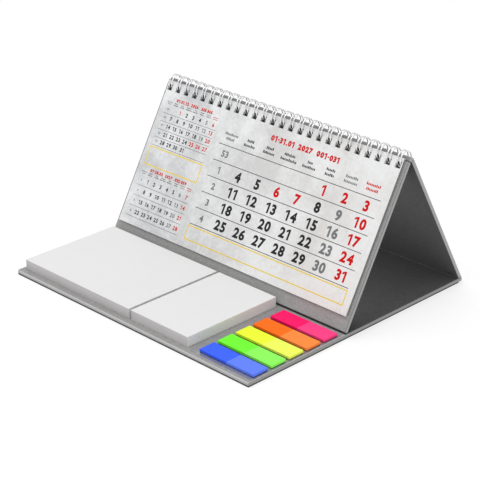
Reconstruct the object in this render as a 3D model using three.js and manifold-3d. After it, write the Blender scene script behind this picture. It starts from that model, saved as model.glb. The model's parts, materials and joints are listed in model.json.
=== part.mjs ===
// Triptych desk calendar: a wrapped-board case that stands as a tent, with a wire-bound stack of
// month leaves on its front panel, and note pads and index flags on the front of its base.
// Millimetres, +Z up, +X to the right along the wire, +Y to the back.
// The origin is at the middle of the footprint, on the surface that the calendar stands on.

import * as THREE from 'three';
import { mergeVertices } from 'three/addons/utils/BufferGeometryUtils.js';
import Module from 'manifold-3d';

const wasm = await Module();
wasm.setup();

// Case boards
const BASE_THICKNESS = 3.2;
const PANEL_THICKNESS = 2.7;
const COVER_SKIN = 0.4;
const LINING_SKIN = 0.4;
const GLUE_LINE = 0.05;
const EDGE_ROUND = 0.6;
const CORNER_ROUND = 0.9;
const TURN_IN = 0.7;
const PLAY = 0.3;
const SHEET_CORNER = 0.6;
const THROUGH = 1;

// The tent, seen from the right
const FOOT_BEHIND_STATIONERY = 1.9;
const HINGE_BEHIND_FOOT = 111.9;
const HINGE_BEAD_RADIUS = 1.4;
const FRONT_LEAN = THREE.MathUtils.degToRad(60.7);
const FRONT_REACH = 108.7;
const FOLD_GAP = 0.15;
const SPINE_CROWN = 1.3;
const SPINE_ROOT = 0.35;
const SPINE_INSET = 0.15;
const SPINE_STEPS = 6;

// Month leaves and their punching
const LEAF_COUNT = 12;
const LEAF_MARGIN = 2.5;
const LEAF_LENGTH = 100.3;
const LEAF_PAPER = 0.09;
const LEAF_STEP = 0.13;
const LEAF_TOP_ABOVE_FOLD = 0.8;
const HOLE_FROM_EDGE = 0.7;
const HOLE_PITCH = 7.97;
const HOLE_WIDTH = 4.2;
const HOLE_LENGTH = 4.1;
const HOLE_BELOW_TOP = 4.7;
const PANEL_HOLE_NEAR = 2;
const PANEL_HOLE_FAR = 6.9;

// Twin-loop wire, whose rings are centred a little above the fold and in front of it
const WIRE_RADIUS = 0.45;
const LOOP_RADIUS = 5.15;
const LOOP_ABOVE_FOLD = 0.75;
const LOOP_BEFORE_FOLD = 0.75;
const PAIR_SPACING = 2.45;
const RUN_BEND = 0.9;
const RUN_BEHIND_FOLD = 0.95;
const TIP_GAP = 1.9;
const WIRE_SIDES = 5;
const LEG_STEPS = 11;

// Note pads and index flags on the base
const PAD_FROM_FRONT = 5;
const PAD_DEPTH = 75;
const PAD_HEIGHT = 6.6;
const SHEET_PAPER = 0.15;
const LARGE_PAD_FROM_LEFT = 2.8;
const LARGE_PAD_WIDTH = 100;
const PAD_SPACING = 2.1;
const SMALL_PAD_WIDTH = 50;
const CARRIER_THICKNESS = 0.3;
const CARRIER_MARGIN_LEFT = 6.1;
const CARRIER_MARGIN_RIGHT = 1;
const CARRIER_MARGIN_ENDS = 2.6;
const FLAG_FROM_FRONT = 5.4;
const FLAG_SPACING = 9.6;
const FLAG_FROM_RIGHT = 1.5;
const FLAG_LENGTH = 44;
const FLAG_WIDTH = 12;
const FLAG_GAP = 2.86;
const FLAG_HEIGHT = 1.9;
const FLAG_COLOURS = {
  blue: 0x5a78ff,
  green: 0x84ff50,
  yellow: 0xecff55,
  orange: 0xff7d2c,
  pink: 0xff2d73,
};

// The case is as wide as the pads and flags beside each other, and the punching fills the leaf's width.
const SMALL_PAD_FROM_LEFT = LARGE_PAD_FROM_LEFT + LARGE_PAD_WIDTH + PAD_SPACING;
const FLAG_FROM_LEFT = SMALL_PAD_FROM_LEFT + SMALL_PAD_WIDTH + FLAG_SPACING;
const CASE_WIDTH = FLAG_FROM_LEFT + FLAG_LENGTH + FLAG_FROM_RIGHT;
const LEAF_WIDTH = CASE_WIDTH - 2 * LEAF_MARGIN;
const HOLE_COUNT = Math.floor((LEAF_WIDTH - HOLE_WIDTH - 2 * HOLE_FROM_EDGE) / HOLE_PITCH) + 1;

// The tent's foot stands just behind the pads and flags, wherever they end.
const FLAG_PITCH = FLAG_WIDTH + FLAG_GAP;
const FLAGS_DEPTH = Object.keys(FLAG_COLOURS).length * FLAG_PITCH - FLAG_GAP;
const STATIONERY_END = Math.max(
  PAD_FROM_FRONT + PAD_DEPTH,
  FLAG_FROM_FRONT + FLAGS_DEPTH + CARRIER_MARGIN_ENDS,
);
const FOOT_FROM_FRONT = STATIONERY_END + FOOT_BEHIND_STATIONERY;
const HINGE_FROM_FRONT = FOOT_FROM_FRONT + HINGE_BEHIND_FOOT;

// Places worked out from the sizes above
const HALF_WIDTH = CASE_WIDTH / 2;
const CASE_DEPTH = HINGE_FROM_FRONT + HINGE_BEAD_RADIUS;
const FRONT_EDGE = -CASE_DEPTH / 2;
const BASE_END = FRONT_EDGE + HINGE_FROM_FRONT - HINGE_BEAD_RADIUS - PLAY;
const FOOT_LINE = FRONT_EDGE + FOOT_FROM_FRONT;
const PANEL_OUTER = FOLD_GAP + PANEL_THICKNESS;
const HINGE = new THREE.Vector3(0, FRONT_EDGE + HINGE_FROM_FRONT, BASE_THICKNESS / 2);

// The front panel's foot corner on the inner side stands just clear of the base, and the fold axis
// between the two panels lies above it, on the line where their inner faces would meet.
const FOLD = new THREE.Vector3(
  0,
  FOOT_LINE + FRONT_REACH * Math.cos(FRONT_LEAN) + PANEL_OUTER * Math.sin(FRONT_LEAN),
  BASE_THICKNESS + PLAY + EDGE_ROUND
    + (FRONT_REACH - EDGE_ROUND) * Math.sin(FRONT_LEAN)
    - (FOLD_GAP + EDGE_ROUND) * Math.cos(FRONT_LEAN),
);
const HINGE_TO_FOLD = Math.hypot(FOLD.y - HINGE.y, FOLD.z - HINGE.z);
const REAR_OFFSET = FOLD_GAP + PANEL_THICKNESS / 2;
const REAR_LEAN = Math.atan2(FOLD.z - HINGE.z, FOLD.y - HINGE.y) - Math.asin(REAR_OFFSET / HINGE_TO_FOLD);
const REAR_REACH = Math.sqrt(HINGE_TO_FOLD ** 2 - REAR_OFFSET ** 2);

// The rear panel's inner lower corner stands just above the base.
const REAR_END_OFF_HINGE = (BASE_THICKNESS / 2 + PLAY + PANEL_THICKNESS / 2 * -Math.cos(REAR_LEAN))
  / Math.sin(REAR_LEAN);

/** A matt paper or card finish. */
function paper(colour, roughness = 0.8) {
  return new THREE.MeshStandardMaterial({ color: colour, roughness, metalness: 0 });
}

const COVER_GREY = paper(0x969696, 0.75);
const BOARD_GREY = paper(0x8a8478, 0.9);
const LINING_CHARCOAL = paper(0x474747, 0.85);
const LEAF_WHITE = paper(0xe6e6e6, 0.7);
const NOTE_WHITE = paper(0xececec, 0.75);
const WIRE_SILVER = new THREE.MeshStandardMaterial({ color: 0xdcdcdc, roughness: 0.3, metalness: 0.9 });
const CARRIER_CLEAR = new THREE.MeshStandardMaterial({ color: 0xc8ccd0, roughness: 0.1, metalness: 0 });

/** A closed geometry as a solid that can be cut. */
function solid(geometry) {
  const bare = geometry.clone();
  bare.deleteAttribute('normal');
  bare.deleteAttribute('uv');
  const merged = mergeVertices(bare, 1e-4);
  return new wasm.Manifold(new wasm.Mesh({
    numProp: 3,
    vertProperties: new Float32Array(merged.attributes.position.array),
    triVerts: new Uint32Array(merged.index.array),
  }));
}

/** A cut solid as a geometry. */
function geometryOf(manifold) {
  const mesh = manifold.getMesh();
  const geometry = new THREE.BufferGeometry();
  geometry.setAttribute('position', new THREE.BufferAttribute(new Float32Array(mesh.vertProperties), 3));
  geometry.setIndex(new THREE.BufferAttribute(new Uint32Array(mesh.triVerts), 1));
  geometry.computeVertexNormals();
  return geometry;
}

/** A plain block between two corners. */
function block(x0, x1, y0, y1, z0, z1) {
  const geometry = new THREE.BoxGeometry(x1 - x0, y1 - y0, z1 - z0);
  geometry.translate((x0 + x1) / 2, (y0 + y1) / 2, (z0 + z1) / 2);
  return geometry;
}

/** A rectangle with rounded corners as a shape in the X and Y directions. */
function roundedRectangle(x0, x1, y0, y1, radius) {
  const shape = new THREE.Shape();
  shape.moveTo(x0 + radius, y0);
  shape.lineTo(x1 - radius, y0);
  shape.absarc(x1 - radius, y0 + radius, radius, -Math.PI / 2, 0);
  shape.lineTo(x1, y1 - radius);
  shape.absarc(x1 - radius, y1 - radius, radius, 0, Math.PI / 2);
  shape.lineTo(x0 + radius, y1);
  shape.absarc(x0 + radius, y1 - radius, radius, Math.PI / 2, Math.PI);
  shape.lineTo(x0, y0 + radius);
  shape.absarc(x0 + radius, y0 + radius, radius, Math.PI, 1.5 * Math.PI);
  return shape;
}

/** A slab whose corners and edges are rounded. */
function roundedSlab(x0, x1, y0, y1, z0, z1) {
  const geometry = new THREE.ExtrudeGeometry(roundedRectangle(x0, x1, y0, y1, CORNER_ROUND), {
    depth: z1 - z0 - 2 * EDGE_ROUND,
    curveSegments: 3,
    bevelThickness: EDGE_ROUND,
    bevelSize: EDGE_ROUND,
    bevelOffset: -EDGE_ROUND,
    bevelSegments: 2,
  });
  geometry.translate(0, 0, z0 + EDGE_ROUND);
  return geometry;
}

/** The middle of each punched hole along the wire. */
function holeCentres() {
  return Array.from({ length: HOLE_COUNT }, (_, i) => (i - (HOLE_COUNT - 1) / 2) * HOLE_PITCH);
}

/** Blocks that cut the row of wire holes, between two heights along a panel. */
function holeCutters(holes, z0, z1) {
  return wasm.Manifold.union(holeCentres().map((x) => solid(
    block(x - HOLE_WIDTH / 2, x + HOLE_WIDTH / 2, holes.from, holes.to, z0, z1),
  )));
}

/** A flat sheet with slightly eased corners, punched with the row of wire holes where they are given. */
function sheet(width, y0, y1, z0, thickness, holes = null) {
  const shape = roundedRectangle(-width / 2, width / 2, y0, y1, SHEET_CORNER);
  const geometry = new THREE.ExtrudeGeometry(shape, {
    depth: thickness, bevelEnabled: false, curveSegments: 1,
  });
  geometry.translate(0, 0, z0);
  if (!holes) return geometry;
  return geometryOf(solid(geometry).subtract(holeCutters(holes, z0 - THROUGH, z0 + thickness + THROUGH)));
}

/** Adds a named piece to a group. */
function add(group, name, geometry, material) {
  const mesh = new THREE.Mesh(geometry, material);
  mesh.name = name;
  group.add(mesh);
  return mesh;
}

/**
 * A wrapped board: its core, the cover round its outer face and edges, and the lining skins let
 * into its inner face. It lies flat between y0 and y1. The inner face is at `inner`, the outer at
 * `outer`, either way up.
 */
function wrappedBoard(group, name, y0, y1, inner, outer, linings, holes = null) {
  const up = Math.sign(inner - outer);
  const low = Math.min(inner, outer);
  const high = Math.max(inner, outer);
  const core = {
    x: HALF_WIDTH - COVER_SKIN - GLUE_LINE,
    y0: y0 + COVER_SKIN + GLUE_LINE,
    y1: y1 - COVER_SKIN - GLUE_LINE,
    outer: outer + up * (COVER_SKIN + GLUE_LINE),
    inner: inner - up * (LINING_SKIN + GLUE_LINE),
  };
  const coreLow = Math.min(core.inner, core.outer);
  const coreHigh = Math.max(core.inner, core.outer);
  const cavityLow = coreLow - GLUE_LINE;
  const cavityHigh = coreHigh + GLUE_LINE;

  let cover = solid(roundedSlab(-HALF_WIDTH, HALF_WIDTH, y0, y1, low, high));
  const cavityX = HALF_WIDTH - COVER_SKIN;
  const cavity = solid(block(
    -cavityX, cavityX, y0 + COVER_SKIN, y1 - COVER_SKIN, cavityLow, cavityHigh,
  ));
  const recessX = HALF_WIDTH - TURN_IN;
  const recess = solid(block(
    -recessX, recessX, y0 + TURN_IN, y1 - TURN_IN,
    Math.min(core.inner, inner + up * THROUGH), Math.max(core.inner, inner + up * THROUGH),
  ));
  cover = cover.subtract(cavity).subtract(recess);
  if (holes) {
    cover = cover.subtract(holeCutters(holes, low - THROUGH, high + THROUGH));
  }
  add(group, `${name}_cover`, geometryOf(cover), COVER_GREY);

  const board = sheet(2 * core.x, core.y0, core.y1, coreLow, coreHigh - coreLow, holes);
  add(group, `${name}_board`, board, BOARD_GREY);

  for (const lining of linings) {
    const liningLow = Math.min(inner, inner - up * LINING_SKIN);
    const geometry = sheet(
      2 * (recessX - GLUE_LINE),
      Math.max(lining.from, y0 + TURN_IN + GLUE_LINE),
      Math.min(lining.to, y1 - TURN_IN - GLUE_LINE),
      liningLow, LINING_SKIN, holes,
    );
    add(group, lining.name, geometry, lining.material);
  }
}

/** The long base board, with grey under the pads and charcoal inside the tent. */
function buildBase() {
  const base = new THREE.Group();
  const joint = FOOT_LINE + PLAY;
  wrappedBoard(base, 'base', FRONT_EDGE, BASE_END, BASE_THICKNESS, 0, [
    { name: 'base_front_sheet', from: FRONT_EDGE, to: joint - GLUE_LINE, material: COVER_GREY },
    { name: 'base_lining', from: joint + GLUE_LINE, to: BASE_END, material: LINING_CHARCOAL },
  ]);
  const bead = new THREE.CylinderGeometry(HINGE_BEAD_RADIUS, HINGE_BEAD_RADIUS, CASE_WIDTH, 16);
  bead.rotateZ(Math.PI / 2);
  bead.translate(0, HINGE.y, HINGE.z);
  add(base, 'rear_hinge_strip', bead, COVER_GREY);
  return base;
}

/** The rear panel, in the fold axis's frame: Y up the panel, Z towards the inside of the tent. */
function buildRearPanel() {
  const rear = new THREE.Group();
  rear.position.copy(FOLD);
  rear.rotation.x = REAR_LEAN;
  const holes = { from: -PANEL_HOLE_FAR, to: -PANEL_HOLE_NEAR };
  const end = -REAR_REACH + REAR_END_OFF_HINGE;
  wrappedBoard(rear, 'rear', end, -FOLD_GAP, -FOLD_GAP, -PANEL_OUTER, [
    { name: 'rear_lining', from: end, to: 0, material: LINING_CHARCOAL },
  ], holes);
  return rear;
}

/** The spine strip that bridges the tops of the two panels: a wedge with a low crown. */
function buildSpine() {
  const spine = new THREE.Group();
  spine.position.copy(FOLD);
  const rearFace = REAR_LEAN - Math.PI / 2;
  const frontFace = FRONT_LEAN + Math.PI / 2;
  const corner = (angle, radius, off) => new THREE.Vector2(
    radius * Math.cos(angle) - off * Math.cos(angle + Math.PI / 2),
    radius * Math.sin(angle) - off * Math.sin(angle + Math.PI / 2),
  );
  const radius = PANEL_OUTER - SPINE_INSET;
  const left = corner(frontFace, radius, PLAY - FOLD_GAP);
  const right = corner(rearFace, radius, -(PLAY - FOLD_GAP));
  const middle = left.clone().add(right).multiplyScalar(0.5);
  const halfChord = left.distanceTo(right) / 2;
  const crownRadius = (halfChord ** 2 + SPINE_CROWN ** 2) / (2 * SPINE_CROWN);
  const centre = new THREE.Vector2(middle.x, middle.y - (crownRadius - SPINE_CROWN));
  const start = Math.atan2(right.y - centre.y, right.x - centre.x);
  const finish = Math.atan2(left.y - centre.y, left.x - centre.x);
  const outline = new THREE.Shape();
  const point = (y, z) => [-z, y];
  outline.moveTo(...point(0, SPINE_ROOT));
  for (let i = 0; i <= SPINE_STEPS; i += 1) {
    const angle = start + (finish - start) * i / SPINE_STEPS;
    const crown = new THREE.Vector2(Math.cos(angle), Math.sin(angle)).multiplyScalar(crownRadius).add(centre);
    outline.lineTo(...point(crown.x, crown.y));
  }
  outline.closePath();
  const geometry = new THREE.ExtrudeGeometry(outline, { depth: CASE_WIDTH, bevelEnabled: false });
  geometry.translate(0, 0, -CASE_WIDTH / 2);
  geometry.rotateY(Math.PI / 2);
  add(spine, 'spine_strip', geometry, COVER_GREY);
  return spine;
}

/** The front panel, in the fold axis's frame: Y up the panel, Z towards the viewer. */
function buildFrontPanel() {
  const front = new THREE.Group();
  front.position.copy(FOLD);
  front.rotation.x = FRONT_LEAN;
  const holes = { from: -PANEL_HOLE_FAR, to: -PANEL_HOLE_NEAR };
  wrappedBoard(front, 'front', -FRONT_REACH, -FOLD_GAP, FOLD_GAP, PANEL_OUTER, [
    { name: 'front_lining', from: -FRONT_REACH, to: 0, material: LINING_CHARCOAL },
  ], holes);

  const top = LEAF_TOP_ABOVE_FOLD;
  const holeLine = top - HOLE_BELOW_TOP;
  const punch = { from: holeLine - HOLE_LENGTH / 2, to: holeLine + HOLE_LENGTH / 2 };
  for (let i = 0; i < LEAF_COUNT; i += 1) {
    const fromPanel = LEAF_COUNT - 1 - i;
    const z0 = PANEL_OUTER + (LEAF_STEP - LEAF_PAPER) + fromPanel * LEAF_STEP;
    const name = `leaf_${String(i + 1).padStart(2, '0')}`;
    add(front, name, sheet(LEAF_WIDTH, top - LEAF_LENGTH, top, z0, LEAF_PAPER, punch), LEAF_WHITE);
  }
  add(front, 'binding_wire', wireGeometry(), WIRE_SILVER);
  return front;
}

/** The wire's centre line: fingers that pass round the ring and back, joined by short runs. */
function wirePath() {
  const points = [];
  const half = PAIR_SPACING / 2;
  const at = (x, angle) => new THREE.Vector3(
    x, LOOP_ABOVE_FOLD + LOOP_RADIUS * Math.cos(angle), LOOP_BEFORE_FOLD + LOOP_RADIUS * Math.sin(angle),
  );
  const runAngle = Math.PI + Math.asin((RUN_BEHIND_FOLD + LOOP_BEFORE_FOLD) / LOOP_RADIUS);
  const eased = RUN_BEND * (1 - Math.SQRT1_2);
  const legStart = runAngle - RUN_BEND / LOOP_RADIUS;
  const tipAngle = runAngle - 2 * Math.PI + TIP_GAP / LOOP_RADIUS;
  const legEnd = tipAngle + half / LOOP_RADIUS;
  const centres = holeCentres();
  centres.forEach((x, i) => {
    if (i > 0) {
      points.push(at(x - half - RUN_BEND, runAngle));
      points.push(at(x - half - eased, runAngle - eased / LOOP_RADIUS));
    }
    for (let k = 0; k <= LEG_STEPS; k += 1) {
      points.push(at(x - half, legStart + (legEnd - legStart) * k / LEG_STEPS));
    }
    for (const turn of [Math.PI / 3, 2 * Math.PI / 3]) {
      points.push(at(x - half * Math.cos(turn), legEnd - half * Math.sin(turn) / LOOP_RADIUS));
    }
    for (let k = LEG_STEPS; k >= 0; k -= 1) {
      points.push(at(x + half, legStart + (legEnd - legStart) * k / LEG_STEPS));
    }
    if (i < centres.length - 1) {
      points.push(at(x + half + eased, runAngle - eased / LOOP_RADIUS));
      points.push(at(x + half + RUN_BEND, runAngle));
    }
  });
  return points;
}

/** A tube of even section along the wire's centre line, mitred at each point and closed at its ends. */
function wireGeometry() {
  const path = wirePath();
  const positions = [];
  const index = [];
  let normal = new THREE.Vector3(1, 0, 0);
  path.forEach((point, i) => {
    const before = point.clone().sub(path[Math.max(i - 1, 0)]).normalize();
    const after = path[Math.min(i + 1, path.length - 1)].clone().sub(point).normalize();
    const tangent = before.clone().add(after).normalize();
    const into = before.lengthSq() > 0 ? before : after;
    normal = normal.clone().addScaledVector(into, -normal.dot(into)).normalize();
    const binormal = new THREE.Vector3().crossVectors(into, normal);
    for (let s = 0; s < WIRE_SIDES; s += 1) {
      const angle = 2 * Math.PI * s / WIRE_SIDES;
      const offset = normal.clone().multiplyScalar(WIRE_RADIUS * Math.cos(angle))
        .addScaledVector(binormal, WIRE_RADIUS * Math.sin(angle));
      offset.addScaledVector(into, -offset.dot(tangent) / into.dot(tangent));
      positions.push(point.x + offset.x, point.y + offset.y, point.z + offset.z);
    }
    if (i > 0) {
      const last = (i - 1) * WIRE_SIDES;
      const here = i * WIRE_SIDES;
      for (let s = 0; s < WIRE_SIDES; s += 1) {
        const next = (s + 1) % WIRE_SIDES;
        index.push(last + s, last + next, here + next, last + s, here + next, here + s);
      }
    }
  });
  const end = (path.length - 1) * WIRE_SIDES;
  for (let s = 1; s < WIRE_SIDES - 1; s += 1) {
    index.push(0, s + 1, s, end, end + s, end + s + 1);
  }
  const geometry = new THREE.BufferGeometry();
  geometry.setAttribute('position', new THREE.BufferAttribute(new Float32Array(positions), 3));
  geometry.setIndex(index);
  geometry.computeVertexNormals();
  return geometry;
}

/** The least gap between stretches of the wire that don't follow on from each other. */
function leastWireGap() {
  const path = wirePath();
  const along = [0];
  path.forEach((point, i) => {
    if (i > 0) along.push(along[i - 1] + point.distanceTo(path[i - 1]));
  });
  let least = Infinity;
  for (let i = 0; i < path.length; i += 1) {
    for (let k = i + 1; k < path.length; k += 1) {
      if (along[k] - along[i] > 4 * PAIR_SPACING) least = Math.min(least, path[i].distanceTo(path[k]));
    }
  }
  return least - 2 * WIRE_RADIUS;
}

/** A note pad: a block of sheets with its top sheet as a piece of its own. */
function addPad(group, name, x0, width) {
  const y0 = FRONT_EDGE + PAD_FROM_FRONT;
  const y1 = y0 + PAD_DEPTH;
  const top = BASE_THICKNESS + PAD_HEIGHT;
  const seam = top - SHEET_PAPER;
  add(group, `${name}_pad`, block(x0, x0 + width, y0, y1, BASE_THICKNESS, seam), NOTE_WHITE);
  add(group, `${name}_top_sheet`, block(x0, x0 + width, y0, y1, seam, top), NOTE_WHITE);
}

/** The note pads and the carrier card with its five stacks of index flags. */
function buildStationery() {
  const group = new THREE.Group();
  addPad(group, 'large_note', -HALF_WIDTH + LARGE_PAD_FROM_LEFT, LARGE_PAD_WIDTH);
  addPad(group, 'small_note', -HALF_WIDTH + SMALL_PAD_FROM_LEFT, SMALL_PAD_WIDTH);

  const x0 = -HALF_WIDTH + FLAG_FROM_LEFT;
  const x1 = x0 + FLAG_LENGTH;
  const y0 = FRONT_EDGE + FLAG_FROM_FRONT;
  const names = Object.keys(FLAG_COLOURS);
  const deck = BASE_THICKNESS + CARRIER_THICKNESS;
  add(group, 'flag_carrier', block(
    x0 - CARRIER_MARGIN_LEFT, x1 + CARRIER_MARGIN_RIGHT,
    y0 - CARRIER_MARGIN_ENDS, y0 + FLAGS_DEPTH + CARRIER_MARGIN_ENDS, BASE_THICKNESS, deck,
  ), CARRIER_CLEAR);
  names.forEach((name, i) => {
    const near = y0 + i * FLAG_PITCH;
    const far = near + FLAG_WIDTH;
    const seam = deck + FLAG_HEIGHT;
    const colour = paper(FLAG_COLOURS[name], 0.6);
    add(group, `${name}_flag_pad`, block(x0, x1, near, far, deck, seam), colour);
    add(group, `${name}_top_flag`, block(x0, x1, near, far, seam, seam + SHEET_PAPER), colour);
  });
  return group;
}

console.log(`Least gap of the wire to itself: ${leastWireGap().toFixed(2)} mm`);

const calendar = new THREE.Group();
calendar.add(buildBase());
calendar.add(buildRearPanel());
calendar.add(buildSpine());
calendar.add(buildFrontPanel());
calendar.add(buildStationery());

export default calendar;
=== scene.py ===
"""Dresses the triptych desk calendar: wrapped boards, wire binding, printed leaves, note pads and flags."""

from __future__ import annotations

import json
import logging
import math
import random
from dataclasses import dataclass, field, replace
from enum import Enum
from typing import ClassVar, Iterable, Sequence

import bmesh
import bpy
from bmesh.types import BMEdge, BMesh, BMFace, BMVert
from bpy.types import ID, Curve, Material, Mesh, Node, NodeSocket, NodeTree, Object
from mathutils import Matrix, Vector

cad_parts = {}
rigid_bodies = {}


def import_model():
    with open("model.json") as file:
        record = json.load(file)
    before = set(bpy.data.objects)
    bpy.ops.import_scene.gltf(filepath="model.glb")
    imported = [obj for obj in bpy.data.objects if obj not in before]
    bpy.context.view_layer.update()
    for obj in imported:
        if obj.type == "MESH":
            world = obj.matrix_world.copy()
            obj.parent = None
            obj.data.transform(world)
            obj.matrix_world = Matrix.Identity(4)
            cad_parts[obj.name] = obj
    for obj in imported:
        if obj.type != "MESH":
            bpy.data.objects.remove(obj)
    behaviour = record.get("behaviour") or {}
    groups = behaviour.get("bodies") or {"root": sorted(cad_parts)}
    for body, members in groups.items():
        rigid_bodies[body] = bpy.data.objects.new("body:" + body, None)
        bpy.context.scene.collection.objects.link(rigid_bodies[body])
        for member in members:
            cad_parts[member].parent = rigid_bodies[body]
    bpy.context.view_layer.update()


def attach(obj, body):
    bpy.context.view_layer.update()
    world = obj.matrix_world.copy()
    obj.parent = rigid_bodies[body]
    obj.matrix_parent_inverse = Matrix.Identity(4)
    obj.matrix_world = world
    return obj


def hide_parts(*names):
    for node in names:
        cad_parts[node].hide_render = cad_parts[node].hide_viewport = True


LOG = logging.getLogger("desk_calendar")
MM = 0.001

# How close two places are that count as one: in the finest tests, in most, and in the loosest.
FINE_TOUCH = 1e-7
TOUCH = 1e-6
LOOSE_TOUCH = 1e-5

# How much of a face's normal points along an axis when it counts as flat for shading, as flat, as turned to
# that side, as an end, as leaning to that side, or as upright.
SHADED_FLAT = 0.9995
FLAT = 0.999
TURNED = 0.7
END = 0.5
LEANING = 0.25
UPRIGHT = 0.1

# The middle of a noise, the usual depth of a fine relief, and how much a roughness usually varies.
MIDDLE = 0.5
FINE_RELIEF = 0.05 * MM
SPREAD = 0.1

Triple = tuple[float, float, float]
Colour = Triple
Pair = tuple[float, float]


def from_screen(red: float, green: float, blue: float) -> Colour:
    """Turns a colour as a screen shows it, from 0 to 255, into scene-linear light.

    Args:
        red: Red, from 0 to 255.
        green: Green, from 0 to 255.
        blue: Blue, from 0 to 255.

    Returns:
        The linear colour, from 0 to 1.
    """

    def linear(value: float) -> float:
        """One channel in linear light."""
        share = value / 255
        return share / 12.92 if share <= 0.04045 else ((share + 0.055) / 1.055) ** 2.4

    return linear(red), linear(green), linear(blue)


class Value:
    """A number in a material's node tree that takes part in ordinary arithmetic."""

    def __init__(self, tree: NodeTree, socket: NodeSocket) -> None:
        """Holds the socket that the number comes from."""
        self.tree = tree
        self.socket = socket

    def _math(self, operation: str, *terms: Value | float) -> Value:
        """Adds one Math node.

        Args:
            operation: The Math node's operation.
            terms: Its inputs in order, as values or plain numbers.

        Returns:
            The node's result.
        """
        node = self.tree.nodes.new("ShaderNodeMath")
        node.operation = operation
        for index, term in enumerate(terms):
            if isinstance(term, Value):
                self.tree.links.new(term.socket, node.inputs[index])
            else:
                node.inputs[index].default_value = float(term)
        return Value(self.tree, node.outputs[0])

    def __add__(self, other: Value | float) -> Value:
        """This plus the other."""
        return self._math("ADD", self, other)

    def __sub__(self, other: Value | float) -> Value:
        """This minus the other."""
        return self._math("SUBTRACT", self, other)

    def __mul__(self, other: Value | float) -> Value:
        """This times the other."""
        return self._math("MULTIPLY", self, other)

    def above(self, edge: float) -> Value:
        """1 where this is over the edge, else 0."""
        return self._math("GREATER_THAN", self, edge)

    def below(self, edge: float) -> Value:
        """1 where this is under the edge, else 0."""
        return self._math("LESS_THAN", self, edge)

    def ramped(self, low: float, high: float) -> Value:
        """Rises from 0 to 1 between the two edges and stays inside those limits."""
        share = (self - low) * (1 / (high - low))
        return share._math("MINIMUM", share._math("MAXIMUM", share, 0.0), 1.0)


class Graph:
    """A material under construction: its tree, its shader and short ways to add nodes."""

    def __init__(self, name: str) -> None:
        """Starts a material with one Principled shader.

        Args:
            name: The material's name.
        """
        self.material = bpy.data.materials.new(name)
        self.material.use_nodes = True
        self.tree = self.material.node_tree
        self.shader = next(n for n in self.tree.nodes if n.type == "BSDF_PRINCIPLED")
        self.coords = self.node("ShaderNodeTexCoord").outputs["Object"]

    def node(self, kind: str, sockets: dict[str, object] | None = None) -> Node:
        """Adds a node and fills its sockets.

        Args:
            kind: The node's type.
            sockets: Values or links by socket name.

        Returns:
            The node.
        """
        node = self.tree.nodes.new(kind)
        for key, value in (sockets or {}).items():
            self.feed(node.inputs[key], value)
        return node

    def feed(self, socket: NodeSocket, value: object) -> None:
        """Links or sets one socket.

        Args:
            socket: The socket that takes the value.
            value: A Value, an output socket, a number or a colour.
        """
        if isinstance(value, Value):
            self.tree.links.new(value.socket, socket)
        elif isinstance(value, NodeSocket):
            self.tree.links.new(value, socket)
        elif isinstance(value, (tuple, list)) and len(value) == 3 and len(socket.default_value) == 4:
            socket.default_value = (*value, 1.0)
        else:
            socket.default_value = value

    def noise(self, scale: float, detail: float = 2.0, stretch: Triple = (1, 1, 1)) -> Value:
        """Smooth noise from 0 to 1 over the piece's own coordinates.

        Args:
            scale: Lumps per metre.
            detail: How many finer layers are added.
            stretch: How the pattern is squeezed along each axis.

        Returns:
            The noise.
        """
        mapping = self.node("ShaderNodeMapping", {"Vector": self.coords, "Scale": stretch})
        sockets = {"Vector": mapping.outputs["Vector"], "Scale": scale, "Detail": detail, "Roughness": 0.6}
        texture = self.node("ShaderNodeTexNoise", sockets)
        return Value(self.tree, texture.outputs["Fac"])

    def axis(self, name: str) -> Value:
        """The X, Y or Z coordinate on the piece, in metres."""
        split = self.node("ShaderNodeSeparateXYZ", {"Vector": self.coords})
        return Value(self.tree, split.outputs[name])

    def mix(self, share: Value, first: object, second: object) -> NodeSocket:
        """Blends two colours.

        Args:
            share: 0 for the first, 1 for the second.
            first: A colour or a colour socket.
            second: A colour or a colour socket.

        Returns:
            The blended colour.
        """
        node = self.tree.nodes.new("ShaderNodeMix")
        node.data_type = "RGBA"
        node.clamp_factor = True
        self.feed(node.inputs["Factor"], share)
        self.feed(next(s for s in node.inputs if s.name == "A" and s.type == "RGBA"), first)
        self.feed(next(s for s in node.inputs if s.name == "B" and s.type == "RGBA"), second)
        return next(s for s in node.outputs if s.type == "RGBA")

    def bump(self, height: Value, strength: float, distance: float) -> None:
        """Gives the surface a fine relief.

        Args:
            height: The relief's height from 0 to 1.
            strength: How strongly it shows.
            distance: What height 1 stands for, in metres.
        """
        sockets = {"Height": height, "Strength": strength, "Distance": distance}
        node = self.node("ShaderNodeBump", sockets)
        self.feed(self.shader.inputs["Normal"], node.outputs["Normal"])

    def surface(self, **sockets: object) -> Material:
        """Fills the shader's sockets and returns the material.

        Args:
            sockets: Socket names with underscores for spaces, and their values.

        Returns:
            The finished material.
        """
        for key, value in sockets.items():
            self.feed(self.shader.inputs[key.replace("_", " ")], value)
        return self.material


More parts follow.
